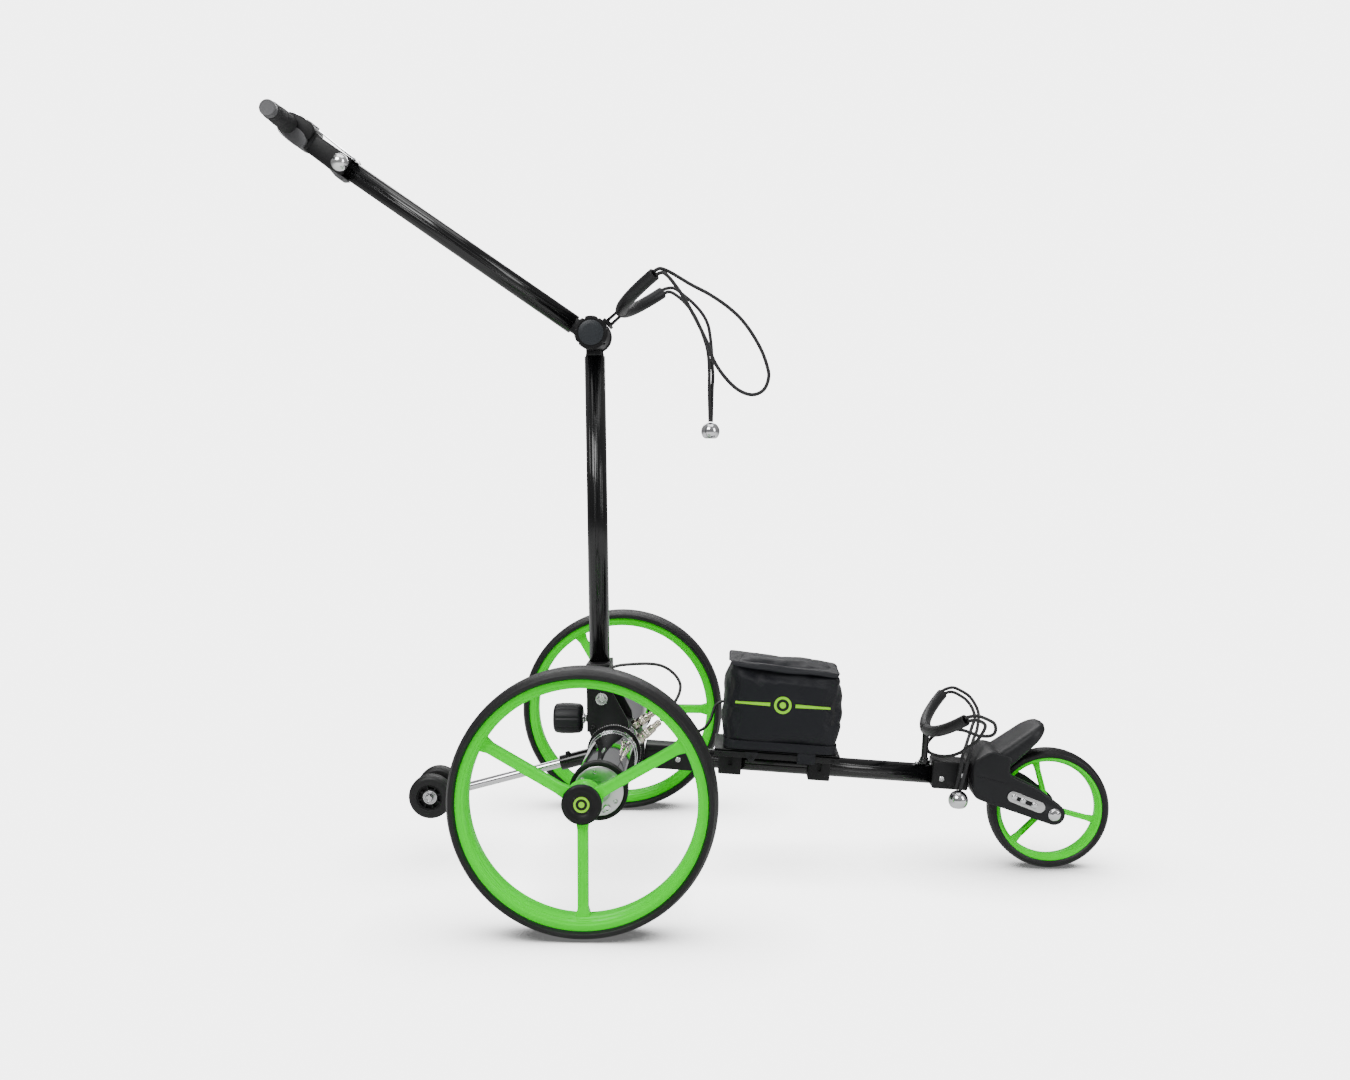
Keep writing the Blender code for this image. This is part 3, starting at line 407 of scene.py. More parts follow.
def rod(name, radius, low, high, finish, place, body, nodes=(), steps=64,
        rounding=0.0004):
    """A solid round bar between two heights on its own Z."""
    return lathe(name, [(0, high), (radius, high), (radius, low), (0, low)], finish, place,
                 body, nodes, steps, rounding)


def band(name, outer, inner, low, high, finish, place, body, nodes=(), steps=96,
         rounding=0.0004):
    """A plain ring between two heights on its own Z."""
    return lathe(name, [(outer, high), (outer, low), (inner, low), (inner, high)], finish,
                 place, body, nodes, steps, rounding)


def baked(piece):
    """The piece with its modifiers worked into its mesh."""
    bpy.context.view_layer.update()
    graph = bpy.context.evaluated_depsgraph_get()
    mesh = bpy.data.meshes.new_from_object(piece.evaluated_get(graph))
    mesh.shade_smooth()
    mesh.set_sharp_from_angle(angle=SHARP)
    old = piece.data
    if piece.type == "MESH":
        piece.modifiers.clear()
        piece.data = mesh
        bpy.data.meshes.remove(old)
        return piece
    name, place = piece.name, piece.matrix_world.copy()
    bpy.data.objects.remove(piece)
    return from_mesh(name, mesh, place)


def raw_prism(name, outlines, thickness, place, bevel=0.0, segments=3):
    """An outline with its holes, extruded both ways along its own Z and bevelled."""
    flat = bpy.data.curves.new(name, "CURVE")
    flat.dimensions = "2D"
    flat.fill_mode = "BOTH"
    flat.extrude = thickness / 2
    for outline in outlines:
        spline = flat.splines.new("POLY")
        spline.points.add(len(outline) - 1)
        for point, at in zip(spline.points, outline):
            point.co = (at[0], at[1], 0, 1)
        spline.use_cyclic_u = True
    made = baked(placed(name + "_flat", flat, place))
    made.name = name
    weld(made.data, True)
    return bevelled(made, bevel, segments)


def bevelled(piece, width, segments=3):
    """The piece with its sharp edges rounded, if there is a width to round them by."""
    if not width:
        return piece
    step = piece.modifiers.new("edge", "BEVEL")
    step.width = width
    step.segments = segments
    step.limit_method = "ANGLE"
    step.angle_limit = math.radians(40)
    step.harden_normals = False
    return baked(piece)


def prism(name, outlines, thickness, finish, place, body, nodes=(), bevel=0.0004):
    """A finished plate."""
    return publish(raw_prism(name, outlines, thickness, place, bevel), finish, body, nodes)


def raw_box(name, size, place, bevel=0.001, segments=3):
    """A rounded block about its own middle."""
    shape = bmesh.new()
    bmesh.ops.create_cube(shape, size=1.0, matrix=Matrix.Diagonal((*size, 1.0)))
    return bevelled(from_mesh(name, mesh_from(name, shape), place), bevel, segments)


def raw_round(name, radius, length, place, steps=64, rounding=0.0):
    """A plain round bar about its own middle, mostly for cutting."""
    half = length / 2
    profile = [(0, half), (radius, half), (radius, -half), (0, -half)]
    if rounding:
        profile = soften(profile, rounding)
    return from_mesh(name, ring_mesh(name, profile, steps, False), place)


def carve(piece, tools, operation="DIFFERENCE"):
    """Cut tools from a piece, or join them to it, and remove the tools."""
    for tool in tools:
        step = piece.modifiers.new("carve", "BOOLEAN")
        step.operation = operation
        step.object = tool
    made = baked(piece)
    for tool in tools:
        bpy.data.objects.remove(tool)
    return made


def pipe(name, points, radius, finish, body, place=ORIGIN, nodes=(), sides=4):
    """A round rod or cord through the points."""
    wire = bpy.data.curves.new(name, "CURVE")
    wire.dimensions = "3D"
    wire.bevel_depth = radius
    wire.bevel_resolution = sides
    wire.use_fill_caps = True
    spline = wire.splines.new("POLY")
    spline.points.add(len(points) - 1)
    for point, at in zip(spline.points, points):
        point.co = (*at, 1)
    spline.use_smooth = True
    return publish(placed(name, wire, place), finish, body, nodes)


def merged(name, parts, finish, body, nodes=()):
    """Several shapes as one piece."""
    shape = bmesh.new()
    for part in parts:
        mesh = part.data.copy()
        mesh.transform(part.matrix_world)
        shape.from_mesh(mesh)
        bpy.data.meshes.remove(mesh)
        bpy.data.objects.remove(part)
    return publish(from_mesh(name, mesh_from(name, shape), Matrix.Identity(4)), finish,
                   body, nodes)


def screw(radius, height, place, hexagon=False):
    """A domed screw head with a hexagon socket, or a hexagon bolt head, on its own Z."""
    steps = 36
    socket = radius * 0.5
    rows = [(radius, 0), (radius, 0.55 * height), (0.92 * radius, 0.82 * height),
            (0.74 * radius, height), (socket * 1.12, height), (socket, 0.93 * height),
            (socket, 0.45 * height)]
    verts = []
    for i, (ring, level) in enumerate(rows):
        for k in range(steps):
            angle = 2 * math.pi * k / steps
            six = math.cos(math.pi / 6) / math.cos((angle % (math.pi / 3)) - math.pi / 6)
            shaped = (hexagon and i < 3) or (not hexagon and i > 4)
            reach = ring * (six if shaped else 1)
            verts.append((reach * math.cos(angle), reach * math.sin(angle), level))
    faces = ring_faces(len(rows), steps)
    last = (len(rows) - 1) * steps
    faces += [[last + k for k in range(steps)], list(reversed(range(steps)))]
    mesh = bpy.data.meshes.new("screw")
    mesh.from_pydata(verts, [], faces)
    return from_mesh("screw", mesh, place)


def both_sides(line, spots, radius, height, hexagon=False):
    """The same screws on the right and on the left of a line, at (x, outward, z)."""
    return [screw(radius, height, line @ shift(x, sign * out, z) @ facing, hexagon)
            for _, sign, facing in SIDES for x, out, z in spots]


def arc(centre, radius, start, stop, steps):
    """Points on an arc, angles in degrees."""
    turns = [math.radians(start + (stop - start) * i / steps) for i in range(steps + 1)]
    return [(centre[0] + radius * math.cos(t), centre[1] + radius * math.sin(t))
            for t in turns]


def circle(radius, steps=64, centre=(0, 0)):
    """A round outline."""
    return arc(centre, radius, 0, 360, steps)[:-1]


def capsule(start, stop, radius, steps=12):
    """An outline with round ends from one point to another."""
    lean = math.degrees(math.atan2(stop[1] - start[1], stop[0] - start[0]))
    return arc(stop, radius, lean - 90, lean + 90, steps) \
        + arc(start, radius, lean + 90, lean + 270, steps)


def spun(count, reach):
    """A closed outline round the middle, reach(i) away from it at step i."""
    made = []
    for i in range(count):
        angle = 2 * math.pi * i / count
        made.append((reach(i) * math.cos(angle), reach(i) * math.sin(angle)))
    return made


def grooved_tube(name, radius, ends, spread, wide, fine, place, body):
    """A tube on its own Z with a wide groove on each flank between two fine ones."""
    grooves = [(at + off, *size) for at in (90, 270)
               for off, size in ((0, wide), (-spread, fine), (spread, fine))]
    steps = 240

    def reach(i):
        depth = 0.0
        for at, width, deep in grooves:
            off = abs((360 * i / steps - at + 180) % 360 - 180)
            half = math.degrees(width / 2 / radius)
            depth = max(depth, deep * min(1.0, max(0.0, (half + 1.5 - off) / 2.0)))
        return radius - depth

    prism(name, [spun(steps, reach)], ends[1] - ends[0], SATIN,
          place @ shift(0, 0, sum(ends) / 2), body, (name,), 0)


def smooth(route, spacing):
    """Evenly spaced points on the smooth curve through a route's own points."""
    ends = [2 * Vector(route[0]) - Vector(route[1])]
    ends += [Vector(p) for p in route]
    ends.append(2 * Vector(route[-1]) - Vector(route[-2]))
    fine = []
    for a, b, c, d in zip(ends, ends[1:], ends[2:], ends[3:]):
        for i in range(24):
            t = i / 24
            fine.append(0.5 * (2 * b + (c - a) * t + (2 * a - 5 * b + 4 * c - d) * t ** 2
                               + (3 * b - a - 3 * c + d) * t ** 3))
    fine.append(Vector(route[-1]))
    reach = [0.0]
    for a, b in zip(fine, fine[1:]):
        reach.append(reach[-1] + (b - a).length)
    count = max(2, round(reach[-1] / spacing))
    even = []
    i = 0
    for k in range(count + 1):
        goal = reach[-1] * k / count
        while i < len(fine) - 2 and reach[i + 1] < goal:
            i += 1
        share = (goal - reach[i]) / (reach[i + 1] - reach[i])
        even.append(fine[i].lerp(fine[i + 1], min(max(share, 0.0), 1.0)))
    return even, reach[-1]


# ------------------------------------------------------------------ cords
UPPER_CATCH = [
    (0.069, -0.093, 0.754), (0.076, -0.095, 0.757), (0.086, -0.092, 0.754),
    (0.099, -0.088, 0.747), (0.114, -0.088, 0.738), (0.135, -0.088, 0.727),
    (0.156, -0.088, 0.713), (0.173, -0.088, 0.698), (0.187, -0.088, 0.680),
    (0.199, -0.088, 0.659), (0.206, -0.088, 0.640), (0.208, -0.088, 0.626),
    (0.202, -0.088, 0.611), (0.188, -0.089, 0.605), (0.171, -0.090, 0.611),
    (0.155, -0.092, 0.626), (0.142, -0.094, 0.645), (0.134, -0.095, 0.666),
    (0.121, -0.096, 0.693), (0.106, -0.098, 0.720), (0.095, -0.099, 0.736),
    (0.086, -0.099, 0.747), (0.079, -0.096, 0.752), (0.072, -0.093, 0.750)]
UPPER_BALL_FRONT = [
    (0.069, 0.093, 0.754), (0.076, 0.097, 0.757), (0.086, 0.099, 0.757),
    (0.098, 0.099, 0.748), (0.112, 0.098, 0.736), (0.124, 0.098, 0.722),
    (0.131, 0.098, 0.708), (0.134, 0.098, 0.693), (0.136, 0.097, 0.674),
    (0.137, 0.096, 0.654), (0.138, 0.096, 0.639), (0.137, 0.095, 0.618),
    (0.136, 0.095, 0.577)]
UPPER_BALL_BACK = [
    (0.072, 0.093, 0.750), (0.079, 0.095, 0.752), (0.087, 0.092, 0.748),
    (0.098, 0.089, 0.739), (0.108, 0.088, 0.727), (0.117, 0.088, 0.712),
    (0.126, 0.088, 0.689), (0.131, 0.088, 0.671), (0.133, 0.089, 0.647),
    (0.133, 0.089, 0.618), (0.134, 0.090, 0.577)]
UPPER_BALL = (0.1347, 0.0923, 0.5641)
LOWER_CATCH = [
    (0.450, -0.094, 0.211), (0.456, -0.096, 0.213), (0.464, -0.092, 0.213),
    (0.472, -0.085, 0.210), (0.483, -0.074, 0.204), (0.490, -0.068, 0.199),
    (0.493, -0.062, 0.191), (0.492, -0.057, 0.184), (0.487, -0.052, 0.180),
    (0.476, -0.047, 0.179), (0.471, -0.043, 0.180), (0.464, -0.038, 0.182),
    (0.456, -0.030, 0.183), (0.444, -0.016, 0.181), (0.433, -0.002, 0.175),
    (0.424, 0.010, 0.164), (0.419, 0.014, 0.154), (0.421, 0.011, 0.146),
    (0.427, -0.003, 0.145), (0.435, -0.016, 0.146), (0.444, -0.030, 0.150),
    (0.453, -0.043, 0.157), (0.460, -0.054, 0.166), (0.468, -0.065, 0.175),
    (0.474, -0.077, 0.189), (0.475, -0.089, 0.200), (0.470, -0.097, 0.206),
    (0.462, -0.098, 0.209), (0.453, -0.094, 0.207)]
LOWER_BALL_FRONT = [
    (0.450, 0.094, 0.211), (0.457, 0.097, 0.214), (0.466, 0.096, 0.216),
    (0.475, 0.089, 0.213), (0.485, 0.081, 0.207), (0.491, 0.070, 0.198),
    (0.493, 0.056, 0.189), (0.490, 0.040, 0.181), (0.485, 0.022, 0.172),
    (0.477, 0.002, 0.164), (0.470, -0.019, 0.155), (0.464, -0.032, 0.141),
    (0.459, -0.036, 0.124), (0.454, -0.037, 0.107)]
LOWER_BALL_BACK = [
    (0.453, 0.094, 0.207), (0.460, 0.095, 0.210), (0.467, 0.090, 0.210),
    (0.474, 0.081, 0.207), (0.480, 0.070, 0.203), (0.485, 0.057, 0.195),
    (0.486, 0.042, 0.185), (0.480, 0.026, 0.178), (0.473, 0.008, 0.169),
    (0.465, -0.014, 0.160), (0.458, -0.027, 0.148), (0.456, -0.033, 0.136),
    (0.453, -0.034, 0.122), (0.450, -0.033, 0.107)]
LOWER_BALL = (0.4523, -0.0350, 0.0939)
CONTROL_CABLE = [
    (0.000, -0.034, 0.248), (0.006, -0.034, 0.258), (0.018, -0.034, 0.263),
    (0.033, -0.034, 0.265), (0.058, -0.034, 0.266), (0.076, -0.034, 0.263),
    (0.090, -0.035, 0.254), (0.098, -0.035, 0.242), (0.098, -0.038, 0.231),
    (0.093, -0.042, 0.220), (0.085, -0.046, 0.207), (0.074, -0.050, 0.196)]
BATTERY_LEAD = [
    (0.067, -0.027, 0.203), (0.074, -0.026, 0.206), (0.085, -0.025, 0.201),
    (0.095, -0.021, 0.189), (0.105, -0.016, 0.179), (0.117, -0.010, 0.174),
    (0.128, -0.003, 0.177), (0.136, 0.004, 0.186), (0.140, 0.008, 0.197),
    (0.144, 0.010, 0.206), (0.153, 0.010, 0.211)]


def strap_ball(name, centre, body):
    """A chromed ball with a flat, hollow underside, filled by a black disc as painted shade of
    the hole.
    """
    radius = 0.0125
    profile = [(0.0026, 0.0119), (0.0036, 0.0119)]
    profile += [(radius * math.cos(math.radians(a)), radius * math.sin(math.radians(a)))
                for a in range(70, -50, -5)]
    profile += [(0.0076, -0.0092), (0.0070, -0.0078), (0.0026, -0.0060)]
    place = ORIGIN @ Matrix.Translation(centre)
    ball = lathe(name, profile, CHROME, place, body, (name,), 64, 0)
    # painted shade: a black disc in the hollow underside stands in for the dark of the hole
    lathe(name + "_painted_hole_shade", [(0, -0.0060), (0.0070, -0.0076), (0.0079, -0.0094),
                           (0.0062, -0.0096), (0, -0.0080)],
          DARK, place, body, (), 48, 0.0002)
    return ball


def make_cords():
    """The straps, their balls and the two cables."""
    upper = strap_ball("upper_strap_ball", UPPER_BALL, "pole")
    lower = strap_ball("lower_strap_ball", LOWER_BALL, "chassis")
    table = (("upper_catch_strap", UPPER_CATCH, 0.0023, "pole", "object", ()),
             ("upper_ball_strap_front", UPPER_BALL_FRONT, 0.0023, "pole", "fitting",
              (upper,)),
             ("upper_ball_strap_back", UPPER_BALL_BACK, 0.0023, "pole", "object", ()),
             ("lower_catch_strap", LOWER_CATCH, 0.0022, "chassis", "object", ()),
             ("lower_ball_strap_front", LOWER_BALL_FRONT, 0.0022, "chassis", "fitting",
              (lower,)),
             ("lower_ball_strap_back", LOWER_BALL_BACK, 0.0022, "chassis", "object", ()),
             ("control_cable", CONTROL_CABLE, 0.0020, "chassis", "object", ()),
             ("battery_lead", BATTERY_LEAD, 0.0020, "chassis", "object", ()))
    for name, route, radius, body, far_end, on_it in table:
        points, length = smooth(route, 0.003)
        strap = "strap" in name
        cord = pipe(name, points, radius, CORD if strap else CABLE, body, ORIGIN, (name,))


make_cords()


# ------------------------------------------------------------------ wheels
def tread(outer, half, ribs):
    """A crowned tread with narrow grooves, from the left edge to the right."""
    crown = 0.0024
    line = []
    for z in ribs:
        for off, deep in ((0.0011, 0), (0.0006, 0.0008), (-0.0006, 0.0008), (-0.0011, 0)):
            at = z + off
            line.append((outer - crown * (at / half) ** 2 - deep, at))
    return line


def tyre(name, outer, half, lip, lip_half, ribs, place, body):
    """A moulded tyre with ribs round its tread and a rounded shoulder."""
    bed = lip - 0.0058
    lap = lip - (0.0024 if outer > 0.1 else 0.0022)
    shoulder = [(lip + 0.0004, lip_half - 0.0002), (lip + 0.0004, lip_half + 0.0002),
                (lap, lip_half + 0.0002), (lap, lip_half + 0.0007),
                (lip - 0.0004, half - 0.0012),
                (lip + 0.0024, half - 0.0002), (lip + 0.0042, half - 0.0008),
                (outer - 0.0018, 0.72 * half), (outer - 0.0009, 0.62 * half)]
    line = shoulder + tread(outer, half, ribs)
    line += [(r, -z) for r, z in reversed(shoulder)]
    line += [(bed, -lip_half + 0.0055), (bed, lip_half - 0.0055)]
    lathe(name, line, TYRE, place, body, (name,), 144, 0.0005)


def wheel(tag, node_tyre, node_rim, place, body, dims, phase):
    """A tyre on a green rim with a raised lip, a stepped well and three spokes."""
    outer, half, lip, lip_half, inner, spoke, hub, ribs = dims
    tyre(node_tyre, outer, half, lip, lip_half, ribs, place, body)
    bed = lip - 0.0062
    well = inner + 0.0022
    face = lip - 0.58 * (lip - inner)
    half_line = [(inner, 0.34 * lip_half), (well, 0.40 * lip_half),
                 (well, 0.62 * lip_half), (well - 0.0009, 0.65 * lip_half),
                 (well - 0.0009, 0.70 * lip_half), (well, 0.73 * lip_half),
                 (well + 0.0004, lip_half - 0.0022), (face - 0.0008, lip_half - 0.0016),
                 (face, lip_half)]
    line = [(lip, lip_half), (lip, lip_half - 0.003), (bed, lip_half - 0.005),
            (bed, -lip_half + 0.005), (lip, -lip_half + 0.003), (lip, -lip_half)]
    line += [(r, -z) for r, z in reversed(half_line)] + half_line
    lathe(node_rim, line, GREEN, place, body, (node_rim,), 144, 0.0006)
    width, depth = spoke
    parts = []
    for k in range(3):
        radial = turn(phase + 120 * k, "Z")
        low, high = hub[0] - 0.002, inner + 0.0012
        outline = [(low, -0.62 * width), (low + 0.012, -0.5 * width),
                   (high - 0.010, -0.5 * width), (high, -0.75 * width),
                   (high, 0.75 * width), (high - 0.010, 0.5 * width),
                   (low + 0.012, 0.5 * width), (low, 0.62 * width)]
        parts.append(raw_prism("spoke", [outline], depth, place @ radial, 0.0012))
        groove = [(low + 0.010, 0.24 * width), (low + 0.010, -0.24 * width),
                  (high - 0.012, -0.24 * width), (high - 0.012, 0.24 * width)]
        for side in (-1, 1):
            parts[-1] = carve(parts[-1], [raw_prism(
                "groove", [groove], 0.0016, place @ radial @ shift(0, 0, side * depth / 2))])
    merged("spokes_" + tag, parts, GREEN, body)
    radius, bottom, top = hub
    barrel = [(0, top), (radius - 0.002, top), (radius, top - 0.002),
              (radius, top - 0.007), (radius - 0.0012, top - 0.008),
              (radius - 0.0012, bottom + 0.004), (radius, bottom + 0.003),
              (radius, bottom), (0, bottom)]
    lathe("hub_" + tag, barrel, GREEN, place, body, (), 64, 0.0004)


def hub_cap(side, place, body):
    """A dished black cap with a plain ring and dot, on a steel axle stub."""
    profile = [(0, 0.0142), (0.0118, 0.0142), (0.0128, 0.0152), (0.0165, 0.0165),
               (0.0200, 0.0160), (0.0225, 0.0143), (0.0225, 0.0118), (0, 0.0118)]
    lathe("hub_cap_" + side, profile, PLASTIC, place, body, ("hub_cap_" + side,), 96,
          0.0006)
    for name, outlines in (("cap_mark_", [circle(0.0088), circle(0.0064)]),
                           ("cap_dot_", [circle(0.0034, 32)])):
        prism(name + side, outlines, 0.0008, LIME_INK, place @ shift(0, 0, 0.0145), body,
              (), 0.0002)
    rod("axle_stub_" + side, 0.006, -0.0384, 0.0112, STEEL, place, body, (), 32)


def make_wheels():
    """Both rear wheels and the front one."""
    big = (0.150, 0.026, 0.1412, 0.0195, 0.1270, (0.0115, 0.014),
           (0.021, -0.0185, 0.0115), (-0.0135, -0.0068, 0, 0.0068, 0.0135))
    for (side, _, facing), phase in zip(SIDES, (30, 0)):
        place = Matrix.Translation(middle("rear_tyre_" + side)) @ facing
        body = "rear_wheel_" + side
        wheel("rear_" + side, "rear_tyre_" + side, "rear_rim_" + side, place, body, big,
              phase)
        hub_cap(side, place, body)
    small = (0.0774, 0.01575, 0.0691, 0.0125, 0.0602, (0.0065, 0.009),
             (0.011, -0.0135, 0.0135), (-0.0068, 0, 0.0068))
    place = Matrix.Translation(FRONT) @ FACE_RIGHT
    wheel("front", "front_tyre", "front_rim", place, "front_wheel", small, -15)


make_wheels()


# ------------------------------------------------------------------ drive unit
def motor(side, facing):
    """A polished tube with a black-rimmed alloy end plate and its screws."""
    place = MOTOR @ facing
    band("motor_tube_" + side, 0.0305, 0.0287, 0.0362, 0.2344, CHROME, place, "chassis",
         ("motor_tube_" + side,), 128, 0.0003)
    rim = [(0.0335, 0.2462), (0.0335, 0.2349), (0.0285, 0.2349), (0.0285, 0.2462),
           (0.0300, 0.2474), (0.0325, 0.2474)]
    lathe("end_ring_" + side, rim, PLASTIC, place, "chassis",
          ("gearbox_flange_" + side,), 128, 0.0004)
    plate = [(0, 0.2460), (0.0125, 0.2460), (0.0130, 0.2466), (0.0270, 0.2466),
             (0.0286, 0.2460), (0.0286, 0.2300), (0, 0.2300)]
    lathe("end_plate_" + side, plate, ALLOY, place, "chassis", (), 128, 0.0003)
    heads = []
    for angle in (100, 145, 205, 285, 330, 40):
        spot = place @ turn(angle, "Z") @ shift(0.0225, 0, 0.2462)
        heads.append(screw(0.0027, 0.0022, spot))
    merged("end_screws_" + side, heads, STEEL, "chassis")
    spot = place @ turn(-62, "Z") @ shift(0.0215, 0, 0.2462)
    merged("end_bolt_" + side, [screw(0.0048, 0.0026, spot)], CHROME, "chassis")


def housing():
    """The cast centre: round body, hinge plates, cross bar, lug and serrated rings."""
    body = raw_round("axle_housing", 0.0345, 0.072, MOTOR @ FACE_RIGHT, 96, 0.0012)
    outline = [(-0.0213, 0.190), (-0.0185, 0.178), (-0.0140, 0.166), (0.0310, 0.166),
               (0.0325, 0.184), (0.0317, 0.1923), (0.0113, 0.2296)]
    outline += arc((-0.0060, 0.2310), 0.0153, 10, 175, 14)
    outline = soften(outline, 0.0025, True)
    tools = []
    for side in (-1, 1):
        tools.append(raw_prism("cheek", [outline], 0.005,
                               ORIGIN @ shift(0, side * 0.0333, 0) @ FACE_RIGHT, 0.0008))
    tools.append(raw_box("bar", (0.0063, 0.066, 0.023), ORIGIN @ shift(-0.01815, 0, 0.1885)))
    tools.append(raw_box("lug", (0.020, 0.032, 0.030), ORIGIN @ shift(0.0400, 0, 0.1435)))
    publish(carve(body, tools, "UNION"), CAST, "chassis", ("axle_housing",))
    teeth = spun(288, lambda i: 0.0348 if i % 4 < 2 else 0.0338)
    for side, sign, facing in SIDES:
        prism("serrated_ring_" + side, [teeth, circle(0.0309, 96)], 0.0034, ALLOY,
              MOTOR @ shift(0, sign * 0.0382, 0) @ FACE_RIGHT, "chassis", (), 0)
        band("ring_seal_" + side, 0.0342, 0.0307, 0.0402, 0.0426, PLASTIC, MOTOR @ facing,
             "chassis")
    spots = ((0.0262, 0.0358, 0.1790), (-0.0132, 0.0358, 0.1840))
    merged("plate_screws", both_sides(ORIGIN, spots, 0.0030, 0.0020), CAST, "chassis")


def hinge_bolt():
    """The pole's hinge bolt with its washers."""
    merged("bolt_heads", both_sides(POLE_LINE, ((0, 0.0372, 0),), 0.0060, 0.0032, True),
           STEEL, "chassis")
    for side, sign, _ in SIDES:
        band("bolt_washer_" + side, 0.0078, 0.0042, -0.0006, 0.0006, STEEL,
             POLE_LINE @ shift(0, sign * 0.0367, 0) @ FACE_RIGHT, "chassis",
             ("pivot_bolt",) if sign < 0 else (), 48, 0.0002)


def base_knob():
    """The barrel knob with soft flutes, on a bright stud."""
    place = ORIGIN @ shift(-0.0213, 0, 0.1886) @ turn(-90, "Y")
    profile = [(0, 0.0467), (0.0150, 0.0464), (0.0188, 0.0440), (0.0199, 0.0360),
               (0.0199, 0.0230), (0.0192, 0.0130), (0.0165, 0.0088), (0, 0.0088)]
    mesh = ring_mesh("base_knob", soften(profile, 0.0016), 144, False)
    for vert in mesh.vertices:
        reach = math.hypot(vert.co.x, vert.co.y)
        if reach < 0.012:
            continue
        angle = math.atan2(vert.co.y, vert.co.x)
        flute = max(0.0, math.cos(9 * angle)) ** 6 * 0.0011 * (reach / 0.02) ** 4
        vert.co.x *= 1 - flute / reach
        vert.co.y *= 1 - flute / reach
    publish(from_mesh("base_knob", mesh, place), GREY, "lock_knob", ("base_knob",))
    lathe("base_knob_stud", [(0, 0.0090), (0.0068, 0.0090), (0.0068, 0.0062),
                             (0.0046, 0.0056), (0.0046, 0.0040), (0.0040, 0.0034),
                             (0.0040, -0.0050), (0, -0.0050)], STEEL, place, "lock_knob",
          (), 48, 0.0003)


def connector(name, start, stop):
    """A plated screw connector: flange, hexagon, knurled ring and ribbed gland."""
    reach = Vector(stop) - Vector(start)
    aim = turn(math.degrees(math.atan2(reach.x, reach.z)), "Y")
    place = ORIGIN @ Matrix.Translation(start) @ aim
    body = "chassis"
    length = reach.length
    hexagon = soften(spun(6, lambda i: 0.0070), 0.0006, True)
    prism(name + "_nut", [hexagon], 0.0052, BRASS_STEEL, place @ shift(0, 0, 0.0028), body,
          (), 0.0003)
    knurl = spun(96, lambda i: 0.0059 if i % 4 < 2 else 0.0055)
    prism(name + "_knurl", [knurl], 0.0085, BRASS_STEEL, place @ shift(0, 0, 0.0125), body,
          (), 0)
    line = [(0, length), (0.0030, length), (0.0036, length - 0.0012)]
    for k in range(4):
        top = length - 0.0016 - 0.0022 * k
        line += [(0.0042, top), (0.0042, top - 0.0011), (0.0037, top - 0.0013),
                 (0.0037, top - 0.0019)]
    line += [(0.0052, length - 0.0110), (0.0055, length - 0.0125), (0.0055, 0.0170),
             (0.0050, 0.0165), (0.0050, 0.0002), (0, 0.0002)]
    lathe(name, line, BRASS_STEEL, place, body, (name,), 48, 0.0002)


def connector_bracket():
    """A polished band round the near motor tube that carries the connectors."""
    band("connector_band", 0.0318, 0.0307, 0.0460, 0.0620, CHROME, MOTOR @ FACE_RIGHT,
         "chassis")
    strip = [(0.0330, 0.1600), (0.0415, 0.1640), (0.0500, 0.1640), (0.0440, 0.1790),
             (0.0360, 0.1860), (0.0325, 0.1800)]
    strip = soften(strip, 0.0020, True)
    prism("connector_plate", [strip], 0.0016, CHROME,
          ORIGIN @ shift(0, -0.0385, 0) @ FACE_RIGHT, "chassis")


def make_drive():
    """Everything between the rear wheels."""
    housing()
    for side, _, facing in SIDES:
        motor(side, facing)
    hinge_bolt()
    base_knob()
    connector("connector_lower", (0.0472, -0.0500, 0.1716), (0.0734, -0.0500, 0.1948))
    connector("connector_upper", (0.0384, -0.0270, 0.1840), (0.0658, -0.0270, 0.2028))
    connector_bracket()


make_drive()


